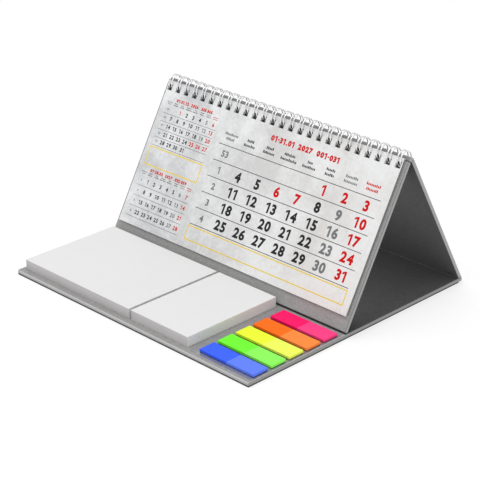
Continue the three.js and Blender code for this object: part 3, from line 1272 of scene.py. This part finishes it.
WEEK_COLUMN, SATURDAY, SUNDAY = -1, 5, 6
WEEK_DAYS = 7
YEAR_WEEKS = 53
YEAR_MONTHS = 12


def column_ink(column: int) -> InkColour:
    """The ink of a column: red for Sundays, grey for Saturdays and the weeks' numbers, else black."""
    if column == SUNDAY:
        return InkColour.RED
    return InkColour.GREY if column in (WEEK_COLUMN, SATURDAY) else InkColour.BLACK


@dataclass(frozen=True)
class NumeralStyle:
    """How a set of numerals is drawn, in shares of their height.

    Weight is how much bolder than the plain face they are, stroke the width of a straight stroke, wide the
    width of the nought, gap the space between two of them, and detail the steps of each curve.
    """

    weight: float
    stroke: float
    wide: float
    gap: float
    detail: int


@dataclass(frozen=True)
class NumeralSet:
    """Plain numerals, a point and a dash as thin solids one unit high, with the width that each takes."""

    GLYPHS: ClassVar[str] = "0123456789.-"
    FLAG: ClassVar[float] = 0.25
    SPACE_AFTER_ONE: ClassVar[float] = 0.13

    solids: tuple[Mesh, ...]
    widths: tuple[float, ...]
    gap: float

    @classmethod
    def straight_figures(cls, stroke: float) -> dict[str, list[Pair]]:
        """Draws the figures that have only straight sides.

        Args:
            stroke: How wide a stroke is.

        Returns:
            The corners of the one and of the dash, anticlockwise.
        """
        left, right = cls.FLAG, cls.FLAG + stroke
        return {
            "1": [
                (left, 0), (right, 0), (right, 1), (left + stroke * 0.2, 1), (0, 0.86),
                (0, 0.86 - stroke), (left, 0.99 - stroke),
            ],
            "-": [(0, 0.4), (0.34, 0.4), (0.34, 0.4 + stroke * 0.8), (0, 0.4 + stroke * 0.8)],
        }

    @staticmethod
    def drawn(digit: str, style: NumeralStyle) -> BMesh:
        """Draws a numeral, or the point, from the plain face.

        Args:
            digit: What is drawn.
            style: How it is drawn.

        Returns:
            A solid of thickness 1.
        """
        curve = bpy.data.curves.new(f"numeral_{digit}", "FONT")
        curve.body = digit
        curve.size = 1.0
        curve.offset = style.weight
        curve.extrude = 0.5
        curve.resolution_u = style.detail
        bm = from_curve(curve)
        bmesh.ops.remove_doubles(bm, verts=bm.verts, dist=LOOSE_TOUCH)
        return bm

    @classmethod
    def make(cls, style: NumeralStyle) -> NumeralSet:
        """Makes a set, with every glyph's height and width in shares of the nought's height.

        Args:
            style: How its numerals are drawn.

        Returns:
            The set.
        """
        solids, widths = [], []
        base, tall, narrow = 0.0, 1.0, 1.0
        straight = cls.straight_figures(style.stroke)
        for digit in cls.GLYPHS:
            if digit in straight:
                bm = prism([(x, y, 0.0) for x, y in straight[digit]], (0, 0, 1))
                after = cls.SPACE_AFTER_ONE if digit == "1" else 0.0
                widths.append(max(x for x, _ in straight[digit]) + after)
            else:
                bm = cls.drawn(digit, style)
                low_x, high_x = min(v.co.x for v in bm.verts), max(v.co.x for v in bm.verts)
                if digit == "0":
                    base = min(v.co.y for v in bm.verts)
                    tall = 1.0 / (max(v.co.y for v in bm.verts) - base)
                    narrow = style.wide / ((high_x - low_x) * tall)
                bmesh.ops.translate(bm, vec=(-low_x, -base, 0.5), verts=bm.verts)
                bmesh.ops.scale(bm, vec=(tall * narrow, tall, 1.0), verts=bm.verts)
                bmesh.ops.recalc_face_normals(bm, faces=bm.faces)
                widths.append((high_x - low_x) * tall * narrow)
            solids.append(stored(bm, f"numeral_{digit}"))
        return cls(tuple(solids), tuple(widths), style.gap)

    def write(self, bm: BMesh, text: str, middle: Pair, height: float, lift: Pair, ink: InkColour) -> None:
        """Adds a number to a print.

        Args:
            bm: The print.
            text: The number's digits, points and dashes.
            middle: Where the middle of the number goes, as X and Y.
            height: How tall it is.
            lift: Where its solids start and end along Z.
            ink: Its colour.
        """
        glyphs = [self.GLYPHS.index(glyph) for glyph in text]
        total = sum(self.widths[place] for place in glyphs) + self.gap * (len(text) - 1)
        total -= self.SPACE_AFTER_ONE if len(text) > 1 and text[-1] == "1" else 0.0
        cursor = middle[0] - total * height / 2
        for place in glyphs:
            known = len(bm.verts)
            faces = len(bm.faces)
            bm.from_mesh(self.solids[place])
            bm.verts.ensure_lookup_table()
            bm.faces.ensure_lookup_table()
            verts = bm.verts[known:]
            bmesh.ops.scale(bm, vec=(height, height, lift[1] - lift[0]), verts=verts)
            bmesh.ops.translate(bm, vec=(cursor, middle[1] - height / 2, lift[0]), verts=verts)
            for face in bm.faces[faces:]:
                face.material_index = ink.value
            cursor += (self.widths[place] + self.gap) * height


@dataclass(frozen=True)
class Month:
    """One month: its length, the days of the year before it, its first column and week, and its red days."""

    number: int
    days: int
    before: int
    first_column: int
    week: int
    holidays: tuple[int, ...] = ()

    def cells(self) -> list[tuple[int, int, int]]:
        """Each day as its number, its row and its column."""
        return [(day, *divmod(day - 1 + self.first_column, WEEK_DAYS)) for day in range(1, self.days + 1)]

    def ink(self, day: int, column: int) -> InkColour:
        """The colour that a day is printed in."""
        return InkColour.RED if day in self.holidays else column_ink(column)


@dataclass(frozen=True)
class Grid:
    """Where a month's print goes on the leaf, in metres from its middle and down from its top."""

    columns: tuple[float, ...]
    first_row: float
    pitch: float
    week_x: float
    rule_x: Pair
    first_rule: float
    height: float
    week_height: float
    rule_weight: float
    heading_down: float
    heading_width: float
    heading_line: float
    heading_step: float
    title_down: float
    title_x: Triple
    title_height: float
    rows: int = 5
    rules: int = 6


def places(start: float, step: float, count: int) -> tuple[float, ...]:
    """Evenly spaced places."""
    return tuple(start + step * i for i in range(count))


@dataclass
class LeafPrint:
    """What is printed on one leaf: a large month, the small months beside it, rules and empty gold frames."""

    numerals: NumeralSet
    small_numerals: NumeralSet
    title_numerals: NumeralSet
    lift: Pair
    fine: bool = True
    top: float = 0.45 * MM
    heading_shares: tuple[Pair, ...] = (
        (1.0, 0.62), (0.5, 0.8), (0.54, 0.82), (0.78, 1.16),
        (0.36, 0.92), (0.62, 0.64), (0.84, 0.9), (0.94, 0.78),
    )
    block_pitch: float = 0.92
    block_share: float = 0.7
    tall_blocks: float = 0.3
    tall_rise: float = 0.35
    frame_line: float = 0.68 * MM
    frames: tuple[tuple[Pair, Pair], ...] = (
        ((-41.3 * MM, 97.3 * MM), (85.05 * MM, 94.9 * MM)),
        ((-98.2 * MM, -47.4 * MM), (45.5 * MM, 58.55 * MM)),
    )
    large: Grid = Grid(
        columns=places(-15.2 * MM, 17.25 * MM, 7), first_row=34.0 * MM, pitch=11.12 * MM, week_x=-32.5 * MM,
        rule_x=(-40.8 * MM, 97.0 * MM), first_rule=28.3 * MM, rule_weight=0.42 * MM,
        height=7.0 * MM, week_height=4.6 * MM,
        heading_down=20.9 * MM, heading_width=12.0 * MM, heading_line=1.3 * MM, heading_step=3.1 * MM,
        title_down=13.8 * MM, title_x=(9.4 * MM, 28.9 * MM, 47.8 * MM), title_height=4.0 * MM,
    )
    upper: Grid = Grid(
        columns=places(-88.8 * MM, 6.32 * MM, 7), first_row=18.8 * MM, pitch=5.66 * MM, week_x=-94.7 * MM,
        rule_x=(-97.5 * MM, -47.9 * MM), first_rule=21.8 * MM, rule_weight=0.22 * MM,
        height=2.9 * MM, week_height=1.5 * MM,
        heading_down=13.8 * MM, heading_width=5.0 * MM, heading_line=0.5 * MM, heading_step=1.3 * MM,
        title_down=11.4 * MM, title_x=(-83.7 * MM, -72.1 * MM, -60.5 * MM), title_height=2.3 * MM, rules=5,
    )
    lower: Grid = Grid(
        columns=places(-88.8 * MM, 6.27 * MM, 7), first_row=69.5 * MM, pitch=7.2 * MM, week_x=-95.2 * MM,
        rule_x=(-98.2 * MM, -48.2 * MM), first_rule=73.05 * MM, rule_weight=0.22 * MM,
        height=2.9 * MM, week_height=1.5 * MM,
        heading_down=63.6 * MM, heading_width=5.0 * MM, heading_line=0.5 * MM, heading_step=1.3 * MM,
        title_down=61.3 * MM, title_x=(-84.1 * MM, -72.5 * MM, -60.9 * MM), title_height=2.3 * MM, rules=4,
    )

    def bar(self, bm: BMesh, x: Pair, down: Pair, ink: InkColour) -> None:
        """Adds a printed bar, between two places across and two places down from the leaf's top."""
        add_bar(bm, x, (self.top - down[1], self.top - down[0]), self.lift, ink.value)

    def frame(self, bm: BMesh, x: Pair, down: Pair) -> None:
        """Adds an empty gold frame.

        Args:
            bm: The print.
            x: Its left and right edges.
            down: Its upper and lower edges.
        """
        line = self.frame_line
        self.bar(bm, x, (down[0], down[0] + line), InkColour.GOLD)
        self.bar(bm, x, (down[1] - line, down[1]), InkColour.GOLD)
        for left in (x[0], x[1] - line):
            self.bar(bm, (left, left + line), (down[0] + line, down[1] - line), InkColour.GOLD)

    def month(self, bm: BMesh, grid: Grid, month: Month, numerals: NumeralSet) -> None:
        """Prints a month's numbers, week numbers and rules.

        Args:
            bm: The print.
            grid: Where they go.
            month: The month.
            numerals: The numerals to use.
        """
        for i in range(grid.rules):
            at = grid.first_rule + grid.pitch * i
            half = grid.rule_weight / 2
            self.bar(bm, grid.rule_x, (at - half, at + half), InkColour.BLACK)
        rows = set()
        for day, row, column in month.cells():
            if row >= grid.rows:
                continue
            rows.add(row)
            middle = (grid.columns[column], self.top - grid.first_row - grid.pitch * row)
            numerals.write(bm, str(day), middle, grid.height, self.lift, month.ink(day, column))
        for row in sorted(rows):
            week = (month.week + row - 1) % YEAR_WEEKS + 1
            middle = (grid.week_x, self.top - grid.first_row - grid.pitch * row)
            self.small_numerals.write(bm, str(week), middle, grid.week_height, self.lift, InkColour.GREY)

    def headings(self, bm: BMesh, grid: Grid) -> None:
        """Prints two short rows of plain blocks over each column, in place of words.

        Args:
            bm: The print.
            grid: The month's grid.
        """
        dice = random.Random(round(grid.heading_down / MM))
        line = grid.heading_line
        for column, x in enumerate((grid.week_x, *grid.columns), start=WEEK_COLUMN):
            ink = column_ink(column)
            for k, share in enumerate(self.heading_shares[column - WEEK_COLUMN]):
                at = grid.heading_down + grid.heading_step * k
                half = grid.heading_width * share / 2
                if not self.fine:
                    self.bar(bm, (x - half, x + half), (at - line / 2, at + line / 2), ink)
                    continue
                count = max(2, round(2 * half / (line * self.block_pitch)))
                pitch = 2 * half / count
                for i in range(count):
                    left = x - half + pitch * i
                    tall = i == 0 or dice.random() < self.tall_blocks
                    upper = at - line / 2 - (line * self.tall_rise if tall else 0.0)
                    self.bar(bm, (left, left + pitch * self.block_share), (upper, at + line / 2), ink)

    def title(self, month: Month, year: str) -> tuple[str, str, str]:
        """The month's dates, its year and the days of the year that it covers, as plain numbers."""
        dates = f"01-{month.days}.{month.number:02d}"
        return dates, year, f"{month.before + 1:03d}-{month.before + month.days:03d}"

    def build(self, name: str, body: str, months: Sequence[Month], inks: Sequence[Material]) -> None:
        """Prints the whole leaf.

        Args:
            name: The print's name.
            body: The leaf's body.
            months: The large month, the one before it and the one after it.
            inks: The inks, in the order of InkColour.
        """
        bm = bmesh.new()
        grids = (self.large, self.upper, self.lower)
        for grid, month in zip(grids, months):
            self.month(bm, grid, month, self.numerals if grid is self.large else self.small_numerals)
        for grid in grids:
            self.headings(bm, grid)
        for grid, month in zip(grids, months):
            year = "2026" if month.number == 12 and months[0].number == 1 else "2027"
            for text, x in zip(self.title(month, year), grid.title_x):
                middle = (x, self.top - grid.title_down)
                self.title_numerals.write(bm, text, middle, grid.title_height, self.lift, InkColour.RED)
        for x, down in self.frames:
            self.frame(bm, x, down)
        publish(bm, name, inks, body, FRONT_FRAME.place)


@dataclass
class Leaves:
    """The stack of twelve leaves, each with its month."""

    paper: Material
    inks: tuple[Material, ...]
    count: int = 12
    face: float = 2.85 * MM
    step: float = 0.13 * MM
    ink_depth: float = 0.012 * MM
    ink_foot: float = 0.01 * MM
    bold: NumeralStyle = NumeralStyle(0.046, 0.21, 0.68, 0.09, 4)
    light: NumeralStyle = NumeralStyle(0.034, 0.18, 0.68, 0.11, 2)
    heavy: NumeralStyle = NumeralStyle(0.066, 0.26, 0.71, 0.07, 2)
    month_days: tuple[int, ...] = (31, 28, 31, 30, 31, 30, 31, 31, 30, 31, 30, 31)
    first_column: int = 4
    first_week: int = 53
    first_holidays: tuple[int, ...] = (1, 2, 6, 7)
    month_before: Month = Month(12, 31, before=334, first_column=1, week=49, holidays=(1, 25, 26))

    def months(self) -> list[Month]:
        """Works out the calendar.

        Returns:
            The months from the one before the first leaf's to the one after the last leaf's.
        """
        column, week = self.first_column, self.first_week
        made = [self.month_before]
        for index, days in enumerate((*self.month_days, self.month_days[0])):
            holidays = self.first_holidays if index == 0 else ()
            place = index % YEAR_MONTHS
            before = sum(self.month_days[:place])
            made.append(Month(place + 1, days, before, column, week % YEAR_WEEKS, holidays))
            weeks, column = divmod(column + days, WEEK_DAYS)
            week += weeks
        return made

    def build(self) -> None:
        """Gives each leaf its paper and its print."""
        names = [f"leaf_{k:02d}" for k in range(1, self.count + 1)]
        carry_over(names, self.paper)
        first = [NumeralSet.make(style) for style in (self.bold, self.light, self.heavy)]
        bold, light = (NumeralSet.make(replace(style, detail=1)) for style in (self.bold, self.light))
        months = self.months()
        for k, name in enumerate(names, start=1):
            outer = self.face + self.step * (self.count + 1 - k)
            lift = (outer - self.ink_foot, outer + self.ink_depth)
            sets = first if k == 1 else (bold, light, bold)
            printed = LeafPrint(*sets, lift, fine=k == 1)
            printed.build(f"{name}_print", name, (months[k], months[k - 1], months[k + 1]), self.inks)


def layered_block(x: Pair, y: Pair, z: Pair, layers: int, wander: float, seed: int, corner: float) -> BMesh:
    """A block of thin sheets whose edges don't quite line up.

    Args:
        x: Its left and right sides.
        y: Its near and far sides.
        z: Its foot and its top.
        layers: How many sheets show at its sides.
        wander: How far a sheet's edge may sit inside the block's side.
        seed: Which set of offsets is used.
        corner: The radius of its upright corners.

    Returns:
        A closed bmesh.
    """
    dice = random.Random(seed)
    bm = rectangle(x, y, z[0], corner, 2)
    to_middle = Matrix.Translation((-(x[0] + x[1]) / 2, -(y[0] + y[1]) / 2, 0))
    wide, deep = x[1] - x[0], y[1] - y[0]
    thickness = (z[1] - z[0]) / layers
    top = bm.faces[:]
    last = 0.0
    for layer in range(layers):
        inset = wander * dice.random()
        top, verts = extruded(bm, top) if layer else (top, list(bm.verts))
        grow = ((wide - 2 * inset) / (wide - 2 * last), (deep - 2 * inset) / (deep - 2 * last), 1)
        bmesh.ops.scale(bm, vec=grow, verts=verts, space=to_middle)
        top, verts = extruded(bm, top)
        bmesh.ops.translate(bm, vec=(0, 0, thickness), verts=verts)
        last = inset
    bmesh.ops.recalc_face_normals(bm, faces=bm.faces)
    smooth_curves(bm)
    return bm


def thin_sheet(x: Pair, y: Pair, z: Pair, corner: float, ease: float) -> BMesh:
    """A flat sheet with rounded corners and eased edges.

    Args:
        x: Its left and right edges.
        y: Its near and far edges.
        z: Its underside and its top.
        corner: Its corners' radius.
        ease: The rounding of its edges.

    Returns:
        A closed bmesh.
    """
    bm = rectangle(x, y, z[0], corner)
    draw_out(bm, (0, 0, z[1] - z[0]))
    rim = [
        e for e in bm.edges
        if abs(e.verts[0].co.z - e.verts[1].co.z) < FINE_TOUCH and any(map(upright, e.link_faces))
    ]
    round_edges(bm, rim, ease, 2)
    smooth_curves(bm)
    return bm


@dataclass
class NotePads:
    """The large and the small pad of plain notes."""

    paper: Material
    front_edges: Material
    side_edges: Material
    deck: float = 3.2 * MM
    height: float = 6.6 * MM
    sheet: float = 0.15 * MM
    layers: int = 43
    wander: float = 0.05 * MM
    corner: float = 0.15 * MM
    ease: float = 0.04 * MM
    first_seed: int = 40
    y: Pair = (-92.6 * MM, -17.6 * MM)
    pads: tuple[tuple[str, Pair], ...] = (
        ("large", (-102.2 * MM, -2.2 * MM)),
        ("small", (-0.1 * MM, 49.9 * MM)),
    )

    def build(self) -> None:
        """Makes each pad and its top sheet."""
        seam = self.deck + self.height - self.sheet
        for seed, (name, x) in enumerate(self.pads, start=self.first_seed):
            block = layered_block(x, self.y, (self.deck, seam), self.layers, self.wander, seed, self.corner)
            for face in block.faces:
                # Tops get the paper. Sides facing right get the lighter copy, painted light, and all other
                # sides the darker copy, painted shade.
                face.material_index = 2 if face.normal.z > TURNED else 1 if face.normal.x > TURNED else 0
            publish(
                block, f"{name}_note_block", [self.front_edges, self.side_edges, self.paper], "base",
                replaces=(f"{name}_note_pad",),
            )
            sheet = thin_sheet(x, self.y, (seam, seam + self.sheet), self.corner, self.ease)
            publish(
                sheet, f"{name}_note_sheet", [self.paper], f"{name}_note",
                replaces=(f"{name}_note_top_sheet",),
            )


@dataclass
class IndexFlags:
    """Five stacks of coloured flags on their clear carrier."""

    carrier: Material
    deck: float = 3.2 * MM
    carrier_thickness: float = 0.3 * MM
    x: Pair = (59.5 * MM, 103.5 * MM)
    first_y: float = -92.2 * MM
    pitch: float = 14.86 * MM
    width: float = 12 * MM
    height: float = 1.9 * MM
    film: float = 0.15 * MM
    dense_share: float = 0.505
    layers: int = 16
    wander: float = 0.04 * MM
    corner: float = 0.2 * MM
    ease: float = 0.04 * MM
    first_seed: int = 60
    # The height of the dark strip under each stack, which is painted shadow.
    foot: float = 0.5 * MM
    foot_inset: float = 0.1 * MM
    gum_shares: Pair = (0.09, 0.13)
    carrier_x: Pair = (53.4 * MM, 104.5 * MM)
    carrier_margin: float = 2.6 * MM
    carrier_corner: float = 1.2 * MM
    carrier_ease: float = 0.1 * MM
    tones: tuple[tuple[str, Colour, Colour], ...] = (
        ("blue", from_screen(62, 102, 253), from_screen(100, 132, 253)),
        ("green", from_screen(116, 253, 54), from_screen(143, 253, 98)),
        ("yellow", from_screen(236, 253, 56), from_screen(239, 253, 98)),
        ("orange", from_screen(255, 112, 22), from_screen(255, 142, 66)),
        ("pink", from_screen(255, 22, 106), from_screen(255, 68, 136)),
    )

    def build(self) -> None:
        """Makes the carrier and the stacks on it."""
        low = self.deck + self.carrier_thickness
        far = self.first_y + self.pitch * (len(self.tones) - 1) + self.width
        carrier_y = (self.first_y - self.carrier_margin, far + self.carrier_margin)
        card = thin_sheet(self.carrier_x, carrier_y, (self.deck, low), self.carrier_corner, self.carrier_ease)
        publish(card, "flag_card", [self.carrier], "base", replaces=("flag_carrier",))
        for index, (name, dense, pale) in enumerate(self.tones):
            near = self.first_y + self.pitch * index
            film = FlagFilm(f"{name}_film", dense, pale, self.dense_end).build()
            # A very dark copy of the flag's colour, painted shadow under the stack.
            painted_stack_shadow = Ink(f"{name}_painted_stack_shadow", *(tuple(c * share for c in dense) for share in self.gum_shares)).build()
            self.stack(name, (near, near + self.width), low, (film, painted_stack_shadow), self.first_seed + index)

    @property
    def dense_end(self) -> float:
        """Where the dense end of the flags meets the clear one."""
        return self.x[0] + (self.x[1] - self.x[0]) * self.dense_share

    def stack(self, name: str, y: Pair, low: float, finishes: Sequence[Material], seed: int) -> None:
        """Makes one stack on a dark strip of painted shadow, and its top flag.

        Args:
            name: Its colour.
            y: Its near and far edges.
            low: The height that it stands on.
            finishes: The flags' film and the dark strip, painted shadow under the stack.
            seed: Which set of offsets its flags have.
        """
        foot, seam, inset = low + self.foot, low + self.height, self.foot_inset
        block = layered_block(self.x, y, (foot, seam), self.layers, self.wander, seed, self.corner)
        # The inset strip from the card up to the stack is painted shadow.
        add_bar(block, (self.x[0] + inset, self.x[1] - inset), (y[0] + inset, y[1] - inset), (low, foot), 1)
        slot = f"{name}_flag"
        publish(block, f"{name}_flag_stack", finishes, "base", replaces=(f"{name}_flag_pad",))
        top = thin_sheet(self.x, y, (seam, seam + self.film), self.corner, self.ease)
        publish(top, f"{name}_flag_film", finishes[:1], slot, replaces=(f"{name}_top_flag",))


@dataclass(frozen=True)
class SoftLamp:
    """A square soft light: where it hangs, what it points at, its side in metres and its power in watts."""

    name: str
    place: Triple
    aim: Triple
    size: float
    power: float

    def hang(self) -> None:
        """Adds the light to the scene."""
        light = bpy.data.lights.new(self.name, "AREA")
        light.shape = "SQUARE"
        light.size = self.size
        light.energy = self.power
        lamp = linked(self.name, light)
        lamp.location = self.place
        lamp.rotation_euler = (Vector(self.aim) - Vector(self.place)).to_track_quat("-Z", "Y").to_euler()


@dataclass
class Studio:
    """The back-lit white floor, the soft light and the camera."""

    target: Triple = (5.797 * MM, -6.047 * MM, 29.589 * MM)
    azimuth: float = 44.979
    elevation: float = 24.455
    distance: float = 1025.734 * MM
    lens: float = 121.54
    shift: Pair = (0.00269, 0.00253)
    sensor: float = 36.0
    floor_half: float = 4.0
    floor_height: float = -0.02 * MM
    floor_tone: float = 0.40
    floor_shade: float = 0.995
    floor_clouds_per_metre: float = 3.0
    floor_glow: float = 0.60
    nearest: float = 0.01
    sky: float = 0.76
    lamps: tuple[SoftLamp, ...] = (
        SoftLamp("key_lamp", (-0.35, -0.45, 1.5), (0, 0, 0.03), 1.4, 11.0),
        SoftLamp("fill_lamp", (1.3, -0.45, 0.45), (0, 0, 0.05), 1.0, 1.2),
    )
    tent_lamp_size: Pair = (190 * MM, 88 * MM)
    tent_lamp_place: Triple = (0, -55 * MM, -1.6 * MM)
    tent_lamp_power: float = 0.078

    def build(self) -> None:
        """Sets up everything round the object."""
        self.floor()
        self.light()
        self.camera()
        bpy.context.scene.view_settings.view_transform = "Standard"
        bpy.context.scene.view_settings.look = "None"

    def floor(self) -> None:
        """Lays the white floor."""
        graph = Graph("studio_floor")
        soft = graph.noise(self.floor_clouds_per_metre, detail=1.0)
        tone = self.floor_tone
        finish = graph.surface(
            Base_Color=graph.mix(soft, (tone,) * 3, (tone * self.floor_shade,) * 3),
            Roughness=1.0,
            Specular_IOR_Level=0.0,
            Emission_Color=(1.0, 1.0, 1.0, 1.0),
            Emission_Strength=self.floor_glow,
        )
        side = (-self.floor_half, self.floor_half)
        mesh = stored(rectangle(side, side, self.floor_height), "studio_floor")
        mesh.materials.append(finish)
        linked("studio_floor", mesh)

    def light(self) -> None:
        """Lights the scene from a white sky and from soft lamps overhead, at the right and in the tent."""
        world = bpy.data.worlds.new("studio_sky")
        world.use_nodes = True
        sky = next(n for n in world.node_tree.nodes if n.type == "BACKGROUND")
        sky.inputs["Color"].default_value = (1.0, 1.0, 1.0, 1.0)
        sky.inputs["Strength"].default_value = self.sky
        bpy.context.scene.world = world
        for lamp in self.lamps:
            lamp.hang()
        self.tent_lamp()

    def tent_lamp(self) -> None:
        """Hangs a weak unseen lamp behind the front panel, so that the inside of the tent isn't black."""
        light = bpy.data.lights.new("tent_lamp", "AREA")
        light.shape = "RECTANGLE"
        light.size, light.size_y = self.tent_lamp_size
        light.energy = self.tent_lamp_power
        lamp = linked("tent_lamp", light)
        lamp.matrix_world = FRONT_FRAME.place @ Matrix.Translation(self.tent_lamp_place)
        lamp.visible_camera = False
        lamp.visible_glossy = False

    def camera(self) -> None:
        """Places the camera where the photo was taken from."""
        azimuth, elevation = math.radians(self.azimuth), math.radians(self.elevation)
        away = Vector((
            math.sin(azimuth) * math.cos(elevation),
            -math.cos(azimuth) * math.cos(elevation),
            math.sin(elevation),
        ))
        data = bpy.data.cameras.new("photo_camera")
        data.sensor_width = self.sensor
        data.lens = self.lens
        data.shift_x, data.shift_y = self.shift
        data.clip_start = self.nearest
        camera = linked("photo_camera", data)
        camera.location = Vector(self.target) + away * self.distance
        camera.rotation_euler = (-away).to_track_quat("-Z", "Y").to_euler()
        bpy.context.scene.camera = camera


def main() -> None:
    """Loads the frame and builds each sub-assembly in order."""
    logging.basicConfig(level=logging.INFO, format="%(name)s: %(message)s")
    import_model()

    grey = CoveringPaper("cover_grey", (0.255, 0.253, 0.251), (0.365, 0.362, 0.358)).build()
    # Painted lighter than the faces: painted light on the panels' sides, the hinge, its fold and the spine's
    # crown.
    edge = EdgePaper("painted_light_cover_edge", (0.330, 0.328, 0.326), (0.400, 0.398, 0.396)).build()
    # The base's front and back sides are painted lighter and its left and right sides darker, as painted
    # light and painted shade. Both darken below the given height as a painted contact shadow.
    base_edge = EdgePaper("base_edge", (0.370, 0.368, 0.366), (0.430, 0.428, 0.426), 1.15 * MM).build()
    base_flank = EdgePaper("base_flank", (0.235, 0.234, 0.233), (0.285, 0.284, 0.283), 0.95 * MM).build()
    # A painted highlight on the top rims of the base and of its front sheet.
    bright_fold = EdgePaper("bright_fold", (0.520, 0.520, 0.520), (0.600, 0.600, 0.600)).build()
    # A painted highlight along the fold line where the lining meets the rear hinge.
    crease = EdgePaper("lining_painted_highlight_crease", (0.270, 0.270, 0.272), (0.330, 0.330, 0.332)).build()
    # Painted shade on the panels' outer rims and on the spine's front.
    dark_fold = EdgePaper("dark_fold", (0.170, 0.170, 0.170), (0.225, 0.225, 0.225)).build()
    charcoal = CoveringPaper(
        "lining_charcoal", (0.066, 0.066, 0.067), (0.088, 0.088, 0.089), 800.0, 4.0, 0.7, 0.08
    ).build()
    core = BoardCore().build()
    leaf_paper = LeafPaper().build()
    inks = (
        Ink("ink_black", from_screen(26, 28, 30), from_screen(44, 46, 48)).build(),
        Ink("ink_grey", from_screen(104, 106, 108), from_screen(124, 126, 128)).build(),
        Ink("ink_red", from_screen(192, 8, 10), from_screen(206, 20, 22)).build(),
        Ink("ink_gold", from_screen(224, 192, 24), from_screen(232, 204, 48)).build(),
    )
    case = Case(grey, edge, base_edge, base_flank, bright_fold, dark_fold, crease, charcoal, core)
    case.build()
    Binding(WireMetal().build(), case.panel_holes).build()
    Leaves(leaf_paper, inks).build()
    # A darker copy for the pads' front, left and back sides, painted shade, and a lighter copy for their
    # right sides, painted light.
    front_edges = NotePaper("note_painted_shade_front_edges", (0.530, 0.512, 0.518), (0.590, 0.572, 0.577)).build()
    side_edges = NotePaper("note_painted_light_side_edges", (0.820, 0.810, 0.796), (0.880, 0.870, 0.856)).build()
    NotePads(NotePaper().build(), front_edges, side_edges).build()
    IndexFlags(ClearFilm().build()).build()
    Studio().build()


if __name__ == "__main__":
    main()
